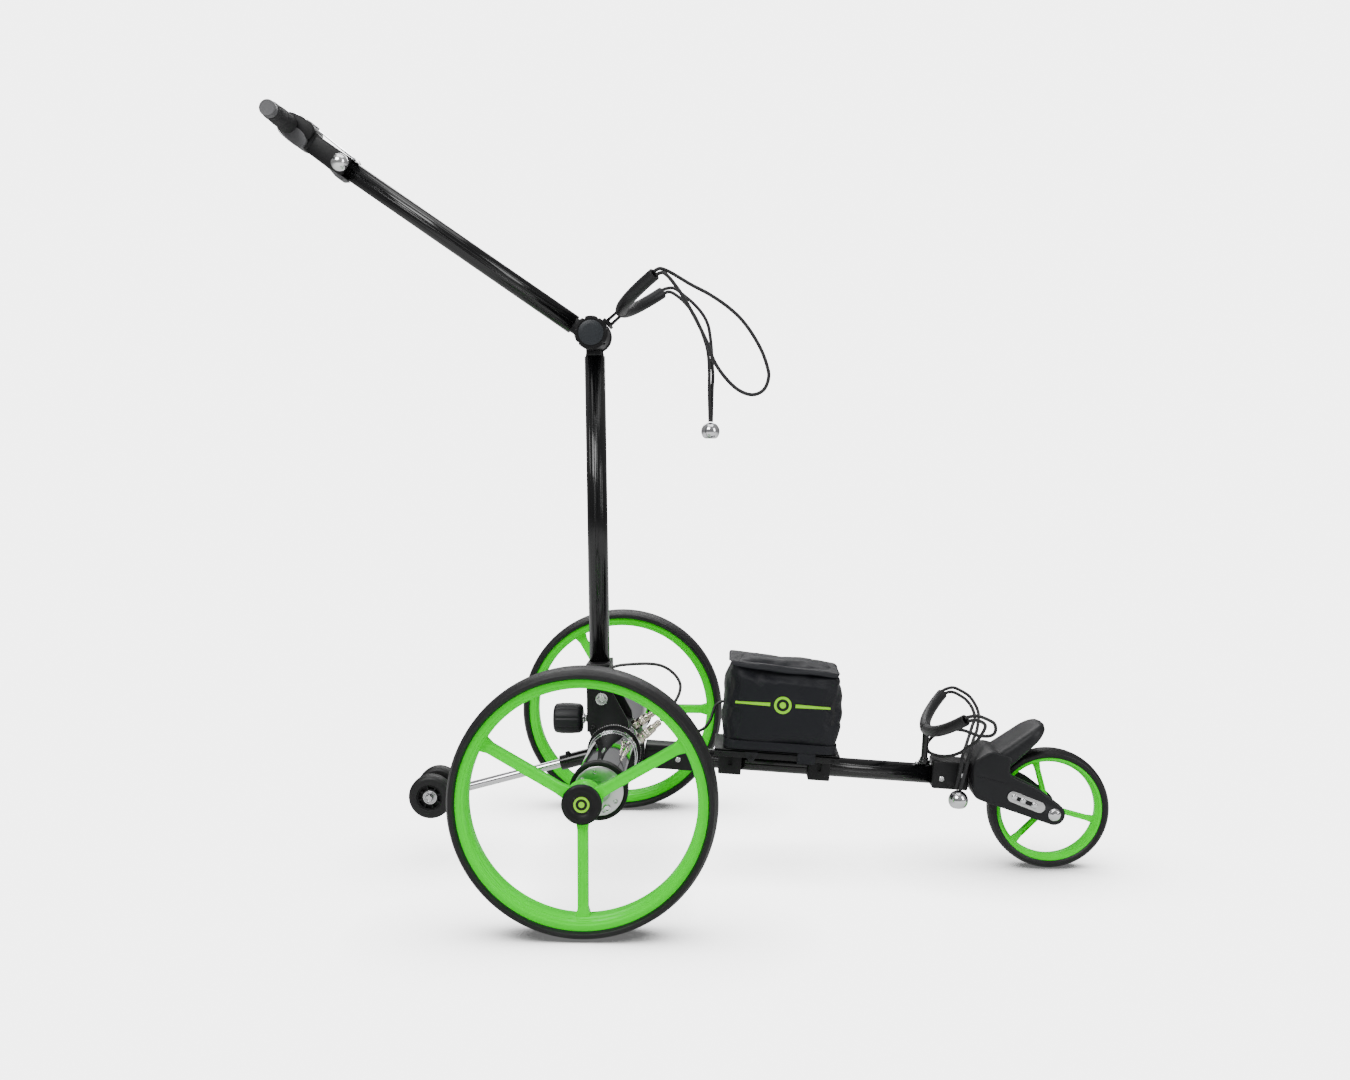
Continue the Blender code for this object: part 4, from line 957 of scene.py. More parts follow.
# ------------------------------------------------------------------ anti-tip wheels
def make_antitip():
    """A glossy sleeve, a polished rod and two small wheels on ball bearings."""
    sleeve = raw_round("antitip_sleeve", 0.0096, 0.058, ANTITIP @ shift(0.029) @ ALONG_X,
                       64, 0.0006)
    sleeve = carve(sleeve, [raw_round("bore", 0.0059, 0.2, ANTITIP @ ALONG_X, 48),
                            raw_round("seat", 0.0348, 0.2, MOTOR @ FACE_RIGHT, 96)])
    publish(sleeve, SATIN, "chassis", ("antitip_sleeve",))
    merged("sleeve_screw", [screw(0.0034, 0.0034, ANTITIP @ shift(0.0120, 0, 0.0093))],
           CAST, "chassis")
    length = 0.2071
    publish(raw_round("antitip_rod", 0.0056, length,
                      ANTITIP @ shift(0.036 - length / 2) @ ALONG_X, 64, 0.0004),
            CHROME, "antitip_arm", ("antitip_rod",))
    hub = ANTITIP @ shift(-0.1711, 0, 0.0051)
    publish(raw_box("antitip_block", (0.018, 0.013, 0.022),
                    ANTITIP @ shift(-0.1711, 0, 0.0030), 0.0018), CAST, "antitip_arm")
    rod("antitip_axle", 0.0040, -0.0385, 0.0385, STEEL, hub @ FACE_RIGHT, "antitip_arm",
        (), 48)
    merged("antitip_nuts", both_sides(hub, ((0, 0.0377, 0),), 0.0052, 0.0028, True), STEEL,
           "antitip_arm")
    for side, sign, _ in SIDES:
        body = "antitip_roller_" + side
        place = hub @ shift(0, sign * 0.0247, 0) @ FACE_RIGHT
        half = [(0.0168, 0.0112), (0.0205, 0.0115), (0.0240, 0.0112), (0.0270, 0.0095),
                (0.0283, 0.0055), (0.0285, 0.0)]
        line = half + [(r, -z) for r, z in reversed(half[:-1])]
        line += [(0.0160, -0.0080), (0.0160, 0.0080)]
        lathe("antitip_wheel_" + side, line, TYRE, place, body,
              ("antitip_wheel_" + side,), 96, 0.0006)
        core = [(0.0168, 0.0095), (0.0168, -0.0095), (0.0148, -0.0095), (0.0148, -0.0030),
                (0.0105, -0.0030), (0.0105, -0.0085), (0.0092, -0.0085), (0.0092, 0.0085),
                (0.0105, 0.0085), (0.0105, 0.0030), (0.0148, 0.0030), (0.0148, 0.0095)]
        lathe("roller_core_" + side, core, PLASTIC, place, body, (), 64)
        ribs = []
        for k in range(8):
            ribs.append(raw_box("rib", (0.0060, 0.0018, 0.0150),
                                place @ turn(45 * k, "Z") @ shift(0.0127), 0.0003, 2))
        merged("roller_ribs_" + side, ribs, PLASTIC, body)
        bearing = [(0.0091, 0.0082), (0.0091, -0.0082), (0.0078, -0.0084),
                   (0.0074, -0.0074), (0.0060, -0.0074), (0.0056, -0.0084),
                   (0.0043, -0.0084), (0.0043, 0.0084), (0.0056, 0.0084),
                   (0.0060, 0.0074), (0.0074, 0.0074), (0.0078, 0.0084)]
        lathe("roller_bearing_" + side, bearing, STEEL, place, body, (), 64, 0.0002)


make_antitip()


# ------------------------------------------------------------------ main tube
def tube_block(name, start, stop, low, high, half, finish, nodes=(), bevel=0.0015):
    """A rounded block on the main tube."""
    place = TUBE_LINE @ shift((start + stop) / 2, 0, (low + high) / 2)
    block = raw_box(name, (stop - start, 2 * half, high - low), place, bevel)
    return publish(block, finish, "chassis", nodes)


def make_main_tube():
    """The grooved tube, the receiver behind it and the socket in front."""
    grooved_tube("main_tube", 0.0125, (-0.3430, 0.0380), 28, (0.0030, 0.0010),
                 (0.0007, 0.0003), TUBE_LINE @ ALONG_X, "chassis")
    tube_block("tube_receiver", -0.3518, -0.2750, -0.0155, 0.0155, 0.016, CAST,
               ("tube_receiver",))
    tube_block("front_socket", 0.0196, 0.0655, -0.0148, 0.0207, 0.020, CAST,
               ("front_socket",), 0.0022)
    spots = ((-0.3080, 0.0158, -0.0015), (0.0310, 0.0198, -0.0012),
             (0.0570, 0.0198, 0.0050))
    merged("tube_screws", both_sides(TUBE_LINE, spots, 0.0036, 0.0024), STEEL, "chassis")
    seams = []
    for sign in (-1, 1):
        seams.append(raw_box("seam", (0.0700, 0.0006, 0.0008),
                             TUBE_LINE @ shift(-0.3134, sign * 0.0161, 0.0080), 0))
        seams.append(raw_box("seam", (0.0008, 0.0006, 0.0300),
                             TUBE_LINE @ shift(0.0500, sign * 0.0201, 0.0030), 0))
    merged("block_seams", seams, DARK, "chassis")


def make_tray():
    """The battery tray with its ridges, clamps, tabs and screws."""
    start, stop = -0.2618, -0.1024
    middle_x = (start + stop) / 2
    parts = [raw_box("plate", (stop - start, 0.092, 0.0036),
                     TUBE_LINE @ shift(middle_x, 0, 0.0217), 0.0008)]
    for sign in (-1, 1):
        parts.append(raw_box("lip", (stop - start, 0.0030, 0.0100),
                             TUBE_LINE @ shift(middle_x, sign * 0.0445, 0.0183), 0.0010))
        parts.append(raw_box("bead", (stop - start - 0.004, 0.0012, 0.0016),
                             TUBE_LINE @ shift(middle_x, sign * 0.0459, 0.0190), 0.0005))
        for x in (-0.04, 0.0, 0.04):
            parts.append(raw_box("rib", (0.0030, 0.0240, 0.0070),
                                 TUBE_LINE @ shift(middle_x + x, sign * 0.0320, 0.0166),
                                 0.0006))
    merged("battery_tray", parts, CAST, "chassis", ("battery_tray",))
    heads = []
    for tag, low, high in (("rear", -0.2556, -0.2259), ("front", -0.1399, -0.1115)):
        centre = (low + high) / 2
        block = raw_box("tray_clamp_" + tag, (high - low, 0.037, 0.0356),
                        TUBE_LINE @ shift(centre, 0, 0.0020), 0.0018)
        slots = [raw_box("slot", (0.0052, 0.004, 0.0150),
                         TUBE_LINE @ shift(centre, sign * 0.0185, 0.0040), 0.001)
                 for sign in (-1, 1)]
        publish(carve(block, slots), PLASTIC, "chassis", ("tray_clamp_" + tag,))
        heads += both_sides(TUBE_LINE, ((centre, 0.0166, 0.0085),), 0.0023, 0.0014)
    spots = ((start + 0.008, 0.0459, 0.0180), (stop - 0.008, 0.0459, 0.0180))
    heads += both_sides(TUBE_LINE, spots, 0.0026, 0.0016)
    heads += both_sides(TUBE_LINE, ((-0.2150, 0.0478, 0.0160),), 0.0030, 0.0016)
    tab = soften([(-0.2240, 0.0215), (-0.2060, 0.0215), (-0.2122, 0.0095),
                  (-0.2150, 0.0070), (-0.2178, 0.0095)], 0.0015, True)
    for side, sign, _ in SIDES:
        prism("corner_tab_" + side, [tab], 0.0018, GREY,
              TUBE_LINE @ shift(0, sign * 0.0471, 0) @ FACE_RIGHT, "chassis")
    merged("tray_screws", heads, CAST, "chassis")
    straps = [raw_box("strap", (0.0230, 0.0016, 0.0150),
                      TUBE_LINE @ shift(-0.1453, sign * 0.0474, 0.0185), 0.0006)
              for sign in (-1, 1)]
    merged("tray_straps", straps, NYLON, "chassis")


make_main_tube()
make_tray()


# ------------------------------------------------------------------ battery bag
def bag_cage():
    """The bag's cut shape on the tube line: leaning back, lower in front."""
    back, front, low = -0.2500, -0.1090, 0.0275
    shape = bmesh.new()
    bmesh.ops.create_cube(shape, size=1.0)
    bmesh.ops.subdivide_edges(shape, edges=shape.edges, cuts=9, use_grid_fill=True)
    for vert in shape.verts:
        u, v, w = vert.co.x + 0.5, vert.co.y, vert.co.z + 0.5
        top = 0.1355 - 0.0075 * u
        x = back + 0.0035 * w + (front - back - 0.0035 * w) * u
        vert.co = (x, v * 0.0935, low + (top - low) * w)
    return mesh_from("battery_bag", shape)


def refined(piece):
    """The piece with its mesh smoothed to twice as fine."""
    step = piece.modifiers.new("fine", "SUBSURF")
    step.levels = step.render_levels = 1
    return baked(piece)


def inflate(piece, cap):
    """Let air pressure fill the cloth, keeping each point near where it began."""
    step = piece.modifiers.new("remesh", "REMESH")
    step.mode = "VOXEL"
    step.voxel_size = 0.0050
    piece = baked(piece)
    start = [vert.co.copy() for vert in piece.data.vertices]
    low = min(co.z for co in start) + 0.004
    pins = piece.vertex_groups.new(name="pins")
    pins.add([i for i, co in enumerate(start) if co.z < low], 1.0, "ADD")
    cloth = piece.modifiers.new("cloth", "CLOTH")
    settings = cloth.settings
    settings.quality = 6
    settings.use_pressure = True
    settings.uniform_pressure_force = 4.0
    settings.effector_weights.gravity = 0.0
    settings.vertex_group_mass = "pins"
    for number in range(1, 21):
        SCENE.frame_set(number)
    piece = baked(piece)
    SCENE.frame_set(1)
    for vert, origin in zip(piece.data.vertices, start):
        moved = vert.co - origin
        if moved.length > cap:
            vert.co = origin + moved * (cap / moved.length)
    return piece


def crease(co):
    """How far the fabric moves in or out at a place on the bag, in metres."""
    up = (co.z - 0.026) / 0.108
    push = 0.0
    push -= 0.0016 * math.exp(-((up - 0.40 + 0.05 * (co.x + 0.18) / 0.07) / 0.030) ** 2)
    push += 0.0010 * math.exp(-((up - 0.47) / 0.06) ** 2)
    push -= 0.0015 * math.exp(-((up - 0.86 + 0.9 * (co.x + 0.18)) / 0.04) ** 2)
    push -= 0.0022 * math.exp(-((up - 0.07) / 0.05) ** 2)
    push += 0.0022 * noise.noise(Vector((co.x * 28, co.y * 28, co.z * 42 + 7)))
    push += 0.0008 * noise.noise(Vector((co.x * 95, co.y * 95, co.z * 60 + 3)))
    return push


def make_bag():
    """The nylon bag: a filled body, a slack lid, a foot band and a plain stripe."""
    piece = from_mesh("battery_bag", bag_cage(), TUBE_LINE)
    piece = inflate(piece, 0.006)
    piece = refined(piece)
    normals = [vert.normal.copy() for vert in piece.data.vertices]
    for vert, normal in zip(piece.data.vertices, normals):
        vert.co += normal * crease(vert.co)
        vert.co.z = max(vert.co.z, 0.0242)
        vert.co.y = max(-0.0512, min(0.0512, vert.co.y))
    publish(piece, NYLON, "chassis", ("battery_bag",))
    top_flap()
    trims()


def top_height(x, y):
    """The lid's height over the bag's top, with slack folds."""
    along = (x + 0.252) / 0.145
    base = 0.1368 - 0.0080 * along
    fold = 0.0022 * noise.noise(Vector((x * 30, y * 16, 1.5)))
    ridge = abs(y - 0.018 - 0.10 * (x + 0.18)) / 0.010
    fold += 0.0024 * math.exp(-ridge ** 2) * (0.6 + 0.4 * math.cos(52 * (x + 0.21)))
    sag = -0.0036 * max(0.0, 1 - (y / 0.045) ** 2) * max(0.0, math.sin(math.pi * along))
    return base + fold + sag


def top_flap():
    """A loose lid of the same cloth, turned down a little over the bag's edges."""
    shape = bmesh.new()
    columns, rows = 60, 48
    grid = []
    for i in range(columns + 1):
        u = 2 * i / columns - 1
        line = []
        for j in range(rows + 1):
            v = 2 * j / rows - 1
            x = -0.1795 + 0.0710 * u * (1 - 0.055 * v ** 8)
            s = 0.0535 * v * (1 - 0.060 * u ** 8)
            fore = max(0.0, (abs(x + 0.1795) - 0.0690) / 0.0027)
            edge = 0.0488
            if abs(s) <= edge:
                y, z = s, top_height(x, s)
                z -= 0.0036 * max(0.0, (abs(s) - 0.0430) / 0.0058) ** 2
            else:
                over = abs(s) - edge
                y = math.copysign(edge + 0.0016 * min(1.0, over / 0.003), s)
                depth = over * (0.62 + 0.30 * noise.noise(Vector((x * 18, s, 9))))
                z = top_height(x, edge) - 0.0036 - depth
            line.append(shape.verts.new((x, y, z - 0.0040 * fore ** 2)))
        grid.append(line)
    for i in range(columns):
        for j in range(rows):
            shape.faces.new((grid[i][j], grid[i + 1][j], grid[i + 1][j + 1],
                             grid[i][j + 1]))
    flap = from_mesh("bag_flap", mesh_from("bag_flap", shape), TUBE_LINE)
    step = flap.modifiers.new("cloth", "SOLIDIFY")
    step.thickness = 0.0011
    step.offset = 1.0
    publish(refined(flap), NYLON, "chassis")


def trims():
    """A webbing band round the bag's foot and a plain lime stripe with a ring."""
    foot = soften([(-0.2518, -0.0495), (-0.1068, -0.0495), (-0.1068, 0.0495),
                   (-0.2518, 0.0495)], 0.017, True, 8)
    inside = [(x * 0.985 - 0.0027, y * 0.965) for x, y in foot]
    prism("bag_band", [foot, inside], 0.0110, NYLON, TUBE_LINE @ shift(0, 0, 0.0305),
          "chassis", (), 0.0006)
    for side, sign, facing in SIDES:
        flip = -sign
        place = TUBE_LINE @ shift(-0.1795, sign * 0.0508, 0.0850) @ facing
        bars = []
        for direction in (-1, 1):
            bar = [(direction * 0.016, flip * -0.0022), (direction * 0.060, flip * -0.0012),
                   (direction * 0.060, flip * 0.0012), (direction * 0.016, flip * 0.0022)]
            bars.append(raw_prism("bar", [bar], 0.0026, place))
        bars.append(raw_prism("disc", [circle(0.0110), circle(0.0078)], 0.0026, place))
        bars.append(raw_prism("dot", [circle(0.0040, 32)], 0.0026, place))
        merged("bag_stripe_" + side, bars, LIME_INK, "chassis")


make_bag()


# ------------------------------------------------------------------ bag cradles
def cradle_arc(advance, start, stop, steps):
    """Points on a cradle's arc in its own XY: X forward, Y across."""
    half = 0.0925
    radius = (half ** 2 + advance ** 2) / (2 * advance)
    widest = math.degrees(math.asin(half / radius))
    points = []
    for i in range(steps + 1):
        angle = math.radians(widest * (start + (stop - start) * i / steps))
        points.append((radius * (1 - math.cos(angle)), radius * math.sin(angle), 0))
    return points


def sleeves(prefix, advance, radius, place, body):
    """Thick rubber sleeves with open, rolled ends, meeting at a dark collar."""
    for side, sign, _ in SIDES:
        points = cradle_arc(advance, sign * 0.05, sign, 48)
        name = prefix + "_sleeve_" + side
        tube = pipe(name, points, radius, SLEEVE, body, place, (), 10)
        tube.data.use_fill_caps = False
        tube.parent = None
        tube.matrix_world = place
        tube = baked(tube)
        weld(tube.data)
        wall = tube.modifiers.new("wall", "SOLIDIFY")
        wall.thickness = radius - 0.0048
        wall.offset = -1
        tube = bevelled(tube, 0.0005)
        tube.name = name
        publish(tube, SLEEVE, body, (name,))
    band(prefix + "_collar", radius + 0.0004, 0.0040, -0.0040, 0.0040, CAST,
         place @ FACE_RIGHT, body, (), 48, 0.0008)


def make_lower_cradle():
    """Post, clamp foot, bent rod and sleeves."""
    place = ORIGIN @ shift(0.4160, 0, 0.1785) @ turn(-40.5, "Y")
    pipe("lower_bag_cradle", cradle_arc(0.0454, -0.93, 0.93, 48), 0.0040, SATIN,
         "chassis", place, ("lower_bag_cradle",), 6)
    foot, top = Vector((0.4134, 0, 0.1332)), Vector((0.4160, 0, 0.1770))
    lean = turn(math.degrees(math.atan2(top.x - foot.x, top.z - foot.z)), "Y")
    line = [(0, 0.0440), (0.0043, 0.0440), (0.0043, 0.0085), (0.0056, 0.0070),
            (0.0056, 0.0046), (0.0074, 0.0034), (0.0074, 0.0002), (0, 0.0002)]
    lathe("cradle_post", line, SATIN, ORIGIN @ Matrix.Translation(foot) @ lean, "chassis",
          (), 64, 0.0005)
    heads = [screw(0.0026, 0.0020, TUBE_LINE @ shift(x, 0, 0.0122)) for x in (0.0010, 0.0190)]
    merged("post_screws", heads, STEEL, "chassis")
    sleeves("lower", 0.0454, 0.0072, place, "chassis")


def make_upper_cradle():
    """The slotted stem, bent rod and sleeves at the top of the pole."""
    place = JOINT @ shift(0.0354, 0, 0.0314) @ turn(-36.1, "Y")
    pipe("upper_bag_cradle", cradle_arc(0.0580, -0.93, 0.93, 48), 0.0040, SATIN, "pole",
         place, ("upper_bag_cradle",), 6)
    aim = JOINT @ turn(-41.4, "Y")
    stem = soften([(0.0215, -0.0052), (0.0480, -0.0048), (0.0480, 0.0048),
                   (0.0215, 0.0052)], 0.001, True)
    slot = capsule((0.0285, 0), (0.0405, 0), 0.0019)
    prism("stem_plate", [stem, slot], 0.0080, SATIN, aim @ FACE_RIGHT, "pole", (), 0.0006)
    publish(raw_box("stem_base", (0.0046, 0.0400, 0.0120), aim @ shift(0.0231), 0.001),
            CAST, "pole")
    sleeves("upper", 0.0580, 0.0080, place, "pole")


make_lower_cradle()
make_upper_cradle()


# ------------------------------------------------------------------ front yoke
def seat():
    """The paddle that the bag's foot rests on: wide at its root, round and thin at its tip."""
    root, tip = Vector((0.4770, 0, 0.1320)), Vector((0.5605, 0, 0.1925))
    along = (tip - root).normalized()
    normal = Vector((-along.z, 0, along.x))
    steps, sides = 34, 40
    verts = []
    for i in range(steps + 1):
        t = i / steps
        close = max(0.0, (t - 0.74) / 0.26)
        round_off = math.sqrt(max(0.0, 1 - close ** 2.2))
        wide = (0.0405 - 0.0065 * t ** 2) * (0.30 + 0.70 * round_off)
        thick = (0.0170 - 0.0085 * t) * (0.12 + 0.88 * round_off)
        dish = 0.0022 * math.sin(math.pi * min(1.0, t * 1.05))
        centre = root + along * (root - tip).length * t - normal * (0.0100 - 0.0040 * t)
        for k in range(sides):
            angle = 2 * math.pi * k / sides
            c, d = math.cos(angle), math.sin(angle)
            across = math.copysign(abs(c) ** 0.42, c) * wide
            lift = math.copysign(abs(d) ** 0.62, d) * thick
            if lift > 0:
                lift -= dish * max(0.0, 1 - (across / wide) ** 2)
            verts.append(centre + Vector((0, across, 0)) + normal * lift)
    faces = ring_faces(steps + 1, sides)
    faces += [list(reversed(range(sides))), [steps * sides + k for k in range(sides)]]
    mesh = bpy.data.meshes.new("seat")
    mesh.from_pydata(verts, [], faces)
    weld(mesh)
    return from_mesh("seat", mesh, ORIGIN)


def make_yoke():
    """The front moulding with its parting line, adjuster plates and axle nuts."""
    axle = (0.5726, 0.0774)
    outline = [(0.4700, 0.1440), (0.4925, 0.1580), (0.5215, 0.1500), (0.5165, 0.1405),
               (0.5165, 0.1275), (0.5523, 0.1106)]
    outline += arc(axle, 0.0138, 62, -112, 16)
    outline += [(0.4839, 0.0929), (0.4745, 0.0965), (0.4700, 0.1026)]
    outline = soften(outline, 0.0080, True, 6)
    place = ORIGIN @ FACE_RIGHT
    yoke = raw_prism("front_yoke", [outline], 0.081, place, 0.0050, 6)
    yoke = carve(yoke, [seat()], "UNION")
    middle_place = ORIGIN @ shift(axle[0], 0, axle[1]) @ FACE_RIGHT
    slot = raw_round("slot", 0.0815, 0.052, middle_place, 128, 0.002)
    bore = raw_round("bore", 0.0043, 0.1, middle_place, 32)
    yoke = carve(yoke, [slot, bore])
    for sign in (-1, 1):
        line = capsule((0.4760, 0.1260), (0.5120, 0.1170), 0.0003, 4)
        yoke = carve(yoke, [raw_prism("line", [line], 0.0012,
                                      ORIGIN @ shift(0, sign * 0.0405, 0) @ FACE_RIGHT)])
    publish(yoke, GREY, "chassis", ("front_yoke",))
    dome = soften([(0, 0.0026), (0.0026, 0.0023), (0.0040, 0.0008), (0.0042, 0), (0, 0)],
                  0.0006)
    for side, sign, facing in SIDES:
        plate = capsule((0.5202, 0.1002), (0.5534, 0.0872), 0.0070)
        slot = capsule((0.5225, 0.0993), (0.5460, 0.0901), 0.0026)
        prism("adjuster_plate_" + side, [plate, slot], 0.0016, ALLOY,
              ORIGIN @ shift(0, sign * 0.0413, 0) @ FACE_RIGHT, "chassis", (), 0.0004)
        heads = []
        for x, z in ((0.5217, 0.1002), (0.5326, 0.0955), (0.5470, 0.0898)):
            heads.append(from_mesh("dome", ring_mesh("dome", dome, 40, False),
                                   ORIGIN @ shift(x, sign * 0.0420, z) @ facing))
        merged("adjuster_screws_" + side, heads, CHROME, "chassis")
        nut = ORIGIN @ shift(axle[0], sign * 0.0408, axle[1]) @ facing
        lathe("axle_cap_" + side, [(0, 0.0046), (0.0030, 0.0044), (0.0062, 0.0032),
                                   (0.0080, 0.0010), (0.0085, 0), (0, 0)], CHROME, nut,
              "chassis", ("front_axle",) if sign < 0 else (), 64, 0.0004)
    rod("front_spindle", 0.0040, -0.0405, 0.0405, STEEL, middle_place, "chassis", (), 32)
    spacer = [(0.0080, 0.0255), (0.0062, 0.0140), (0.0042, 0.0140), (0.0042, 0.0255)]
    for side, _, facing in SIDES:
        lathe("axle_spacer_" + side, spacer, PLASTIC,
              ORIGIN @ shift(axle[0], 0, axle[1]) @ facing, "chassis", (), 48)


make_yoke()


# ------------------------------------------------------------------ pole and joint
def make_pole():
    """The foot on the hinge, the grooved tube, the clevis and its star knob."""
    outline = arc((0, 0), 0.0200, 180, 300, 20)
    outline += [(0.0100, 0.0440), (-0.0204, 0.0440)]
    outline = soften(outline, 0.0012, True)
    foot = raw_prism("pole_foot", [outline], 0.059, POLE_LINE @ FACE_RIGHT, 0.0016)
    publish(foot, CAST, "pole", ("pole_foot",))
    merged("foot_screws", both_sides(POLE_TUBE, ((0, 0.0293, 0.0330),), 0.0030, 0.0022),
           STEEL, "pole")
    grooved_tube("pole_tube", 0.0132, (0.0130, 0.4381), 32, (0.0032, 0.0011),
                 (0.0008, 0.0003), POLE_TUBE, "pole")
    clevis = raw_round("pole_clevis", 0.0205, 0.053, JOINT @ FACE_RIGHT, 96, 0.0014)
    neck = raw_round("neck", 0.0118, 0.030, POLE_TUBE @ shift(0, 0, 0.4266), 64,
                     0.0008)
    bridge = raw_box("bridge", (0.0200, 0.030, 0.0120),
                     POLE_TUBE @ shift(0, 0, 0.4446), 0.0015)
    clevis = carve(clevis, [neck, bridge], "UNION")
    gap = raw_box("gap", (0.0600, 0.0268, 0.0509), JOINT @ shift(0, 0, 0.0046), 0)
    publish(carve(clevis, [gap]), CAST, "pole", ("pole_clevis",))
    star_knob()


def star_knob():
    """The lobed clamp knob with its pale raised face, on the clevis's stud and nut."""
    lobes, steps = 7, 210
    star = spun(steps, lambda i: 0.0212 - 0.0026 * max(
        0.0, math.cos(lobes * 2 * math.pi * i / steps)) ** 10)
    place = JOINT @ shift(0, -0.0385, 0) @ FACE_RIGHT @ turn(12, "Z")
    knob = raw_prism("joint_knob", [star], 0.018, place, 0.0018, 4)
    ring = raw_prism("ring", [circle(0.0172, 96), circle(0.0162, 96)], 0.0016,
                     place @ shift(0, 0, 0.0092))
    publish(carve(knob, [ring]), CAST, "clamp_knob", ("joint_knob",))
    lathe("knob_face", [(0, 0.0104), (0.0110, 0.0102), (0.0158, 0.0094), (0.0162, 0.0082),
                        (0, 0.0082)], KNOB_FACE, place, "clamp_knob", (), 96, 0.0006)
    rod("clamp_stud", 0.0039, -0.0330, 0.0362, STEEL, JOINT @ FACE_RIGHT, "pole", (), 32)
    merged("clamp_nut", [screw(0.0070, 0.0048, JOINT @ shift(0, 0.0266, 0) @ FACE_LEFT,
                               True)], STEEL, "pole")


make_pole()


# ------------------------------------------------------------------ handle
def make_handle():
    """Knuckle, grooved tube, control housing, T head, bar and grips."""
    knuckle = raw_round("handle_knuckle", 0.0195, 0.0260, HANDLE @ FACE_RIGHT, 96, 0.001)
    neck = raw_box("neck", (0.020, 0.0200, 0.0180), HANDLE_TUBE @ shift(0.0210), 0.0015)
    plug = raw_round("plug", 0.0102, 0.060, HANDLE_TUBE @ shift(0.0500) @ ALONG_X, 48)
    publish(carve(knuckle, [neck, plug], "UNION"), CAST, "handle", ("handle_knuckle",))
    grooved_tube("handle_tube", 0.0125, (0.0300, 0.4520), 30, (0.0030, 0.0010),
                 (0.0007, 0.0003), HANDLE_TUBE @ ALONG_X, "handle")
    control()
    head()
    grips()


def control():
    """The control housing: black flanks, a long chrome strip on top, a grey one below."""
    block = raw_box("control_housing", (0.0560, 0.0290, 0.0260),
                    HANDLE_TUBE @ shift(0.4084), 0.0040, 4)
    publish(block, PLASTIC, "handle", ("control_housing",))
    top = [(0.3740, 0.0098), (0.3790, 0.0128), (0.4364, 0.0160), (0.4364, 0.0138),
           (0.3800, 0.0092)]
    top = soften(top, 0.0012, True)
    prism("control_top", [top], 0.0240, CHROME, HANDLE @ FACE_RIGHT, "handle", (), 0.0005)
    low = [(0.3730, -0.0160), (0.3800, -0.0215), (0.3880, -0.0210), (0.3990, -0.0178),
           (0.4400, -0.0160), (0.4400, -0.0140), (0.3980, -0.0152)]
    low = soften(low, 0.0022, True)
    prism("control_base", [low], 0.0220, PALE_GREY, HANDLE @ FACE_RIGHT, "handle", (),
          0.0006)
    place = HANDLE_TUBE @ shift(0.3860, 0.0282) @ FACE_LEFT
    ball = [(0.0112 * math.sin(math.radians(a)), 0.0112 * math.cos(math.radians(a)))
            for a in range(0, 155, 6)]
    ball[0] = (0, 0.0112)
    ball += [(0.0040, -0.0124), (0, -0.0124)]
    lathe("speed_knob", ball, WHITE_CHROME, place, "speed_dial", ("speed_knob",), 64, 0)
    rod("speed_seat", 0.0062, -0.0010, 0.0010, CHROME,
        HANDLE_TUBE @ shift(0.3860, 0.0152) @ FACE_LEFT, "handle", (), 48, 0.0003)


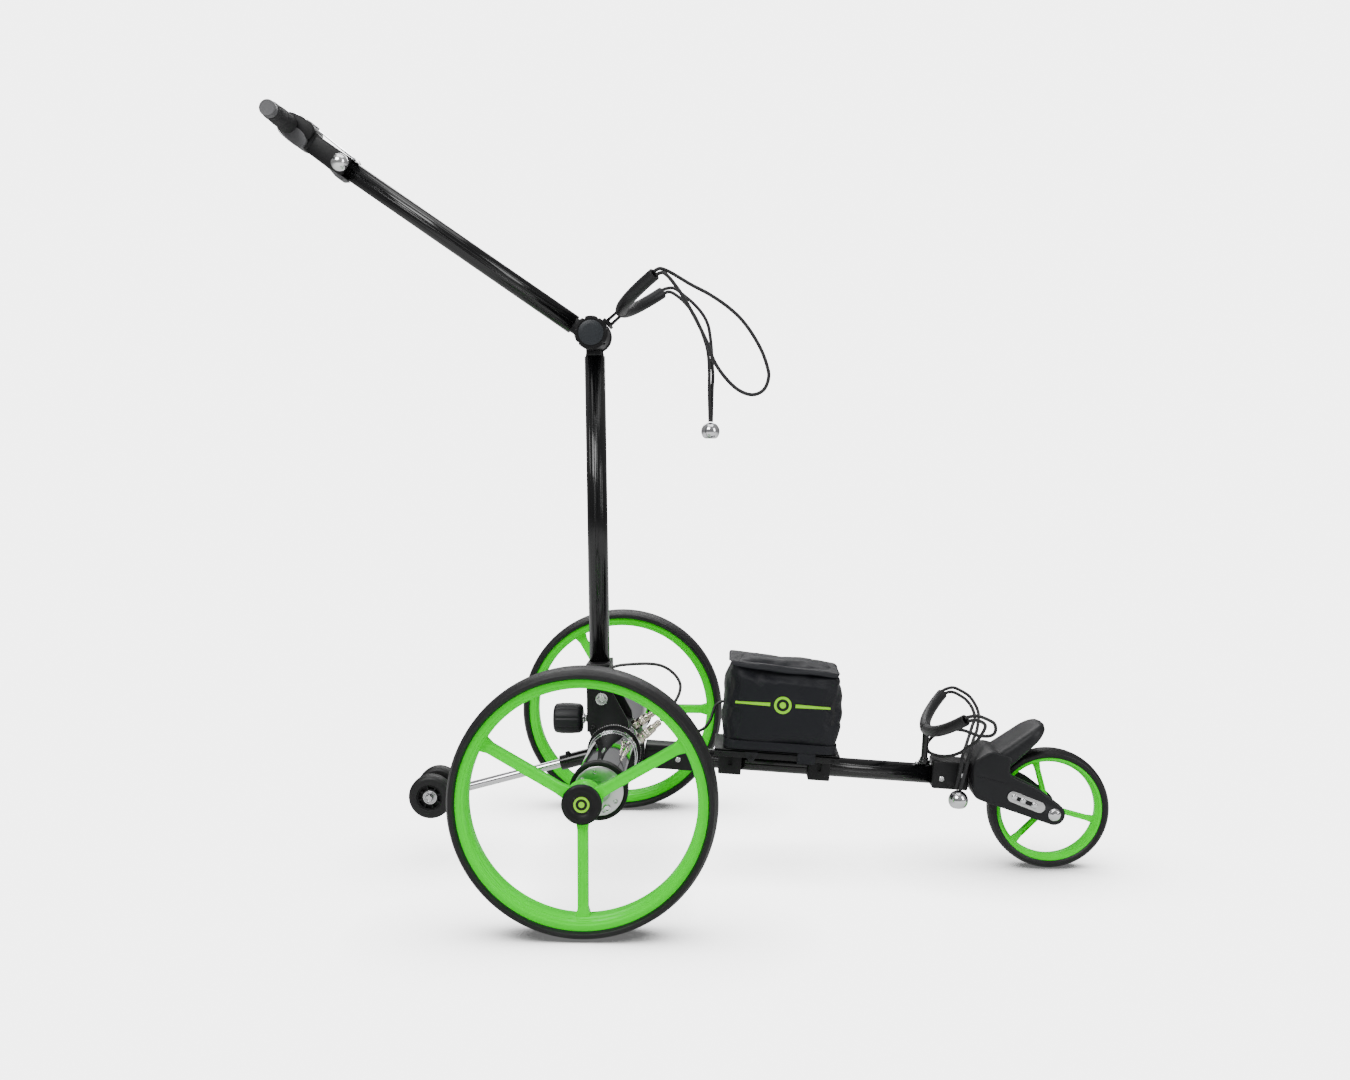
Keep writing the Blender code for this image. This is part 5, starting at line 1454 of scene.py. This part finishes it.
def head():
    """The T head: black upper shell, grey cheeks below and a chrome saddle on the bar."""
    upper = [(0.4372, -0.0020), (0.4372, 0.0110), (0.4420, 0.0160), (0.4620, 0.0178),
             (0.4720, 0.0150), (0.4640, 0.0020), (0.4520, -0.0060)]
    upper = soften(upper, 0.0045, True, 6)
    publish(raw_prism("handle_head", [upper], 0.0400, HANDLE @ FACE_RIGHT, 0.0030, 5),
            PLASTIC, "handle", ("handle_head",))
    lower = [(0.4380, -0.0060), (0.4400, -0.0158), (0.4480, -0.0182), (0.4700, -0.0160),
             (0.4790, -0.0090), (0.4760, -0.0040), (0.4560, 0.0040), (0.4440, 0.0010)]
    lower = soften(lower, 0.0045, True, 6)
    publish(raw_prism("head_base", [lower], 0.0406, HANDLE @ FACE_RIGHT, 0.0022, 5),
            PALE_GREY, "handle")
    saddle = [(0.4470, 0.0185), (0.4704, 0.0180)]
    saddle += arc((0.4704, 0), 0.0166, 84, -84, 28)
    saddle += [(0.4600, -0.0180), (0.4600, -0.0160), (0.4704, -0.0146)]
    saddle += arc((0.4704, 0), 0.0146, -84, 84, 28)
    saddle += [(0.4470, 0.0165)]
    prism("head_saddle", [saddle], 0.0330, CHROME, HANDLE @ FACE_RIGHT, "handle", (),
          0.0006)
    rod("handle_bar", 0.0085, -0.0945, 0.0945, SATIN, BAR @ FACE_RIGHT, "handle")
    band("bar_hub", 0.0142, 0.0088, -0.0185, 0.0185, PLASTIC, BAR @ FACE_RIGHT, "handle",
         (), 96, 0.0010)
    publish(raw_box("head_neck", (0.0120, 0.0300, 0.0270), HANDLE
                    @ shift(0.4390, 0, -0.0020), 0.0050, 4), CAST, "handle")


def grips():
    """Rubber grips with a raised ridge and a flat grey end cap on each."""
    for side, facing in (("right", FACE_LEFT), ("left", FACE_RIGHT)):
        line = [(0.0086, 0.0882), (0.0104, 0.0882), (0.0112, 0.0870), (0.0112, 0.0790),
                (0.0105, 0.0780), (0.0105, 0.0765), (0.0112, 0.0755), (0.0118, 0.0600)]
        for k in range(10):
            top = 0.0575 - 0.0034 * k
            line += [(0.0120, top), (0.0120, top - 0.0022), (0.0115, top - 0.0026),
                     (0.0115, top - 0.0032)]
        line += [(0.0122, 0.0225), (0.0118, 0.0215), (0.0086, 0.0215)]
        place = BAR @ facing
        lathe("grip_" + side, line, GRIP, place, "handle", ("grip_" + side,), 96, 0.0004)
        cap = [(0, 0.0996), (0.0084, 0.0996), (0.0090, 0.1000), (0.0103, 0.0990),
               (0.0103, 0.0884), (0, 0.0884)]
        lathe("grip_cap_" + side, cap, PALE_GREY, place, "handle", (), 96, 0.0006)


make_handle()


# ------------------------------------------------------------------ what stays from CAD
for node, piece in frame["nodes"].items():
    if piece.hide_render:
        continue
    piece.data.materials.clear()
    piece.data.materials.append(PLAIN.get(SLOTS[node], CAST))
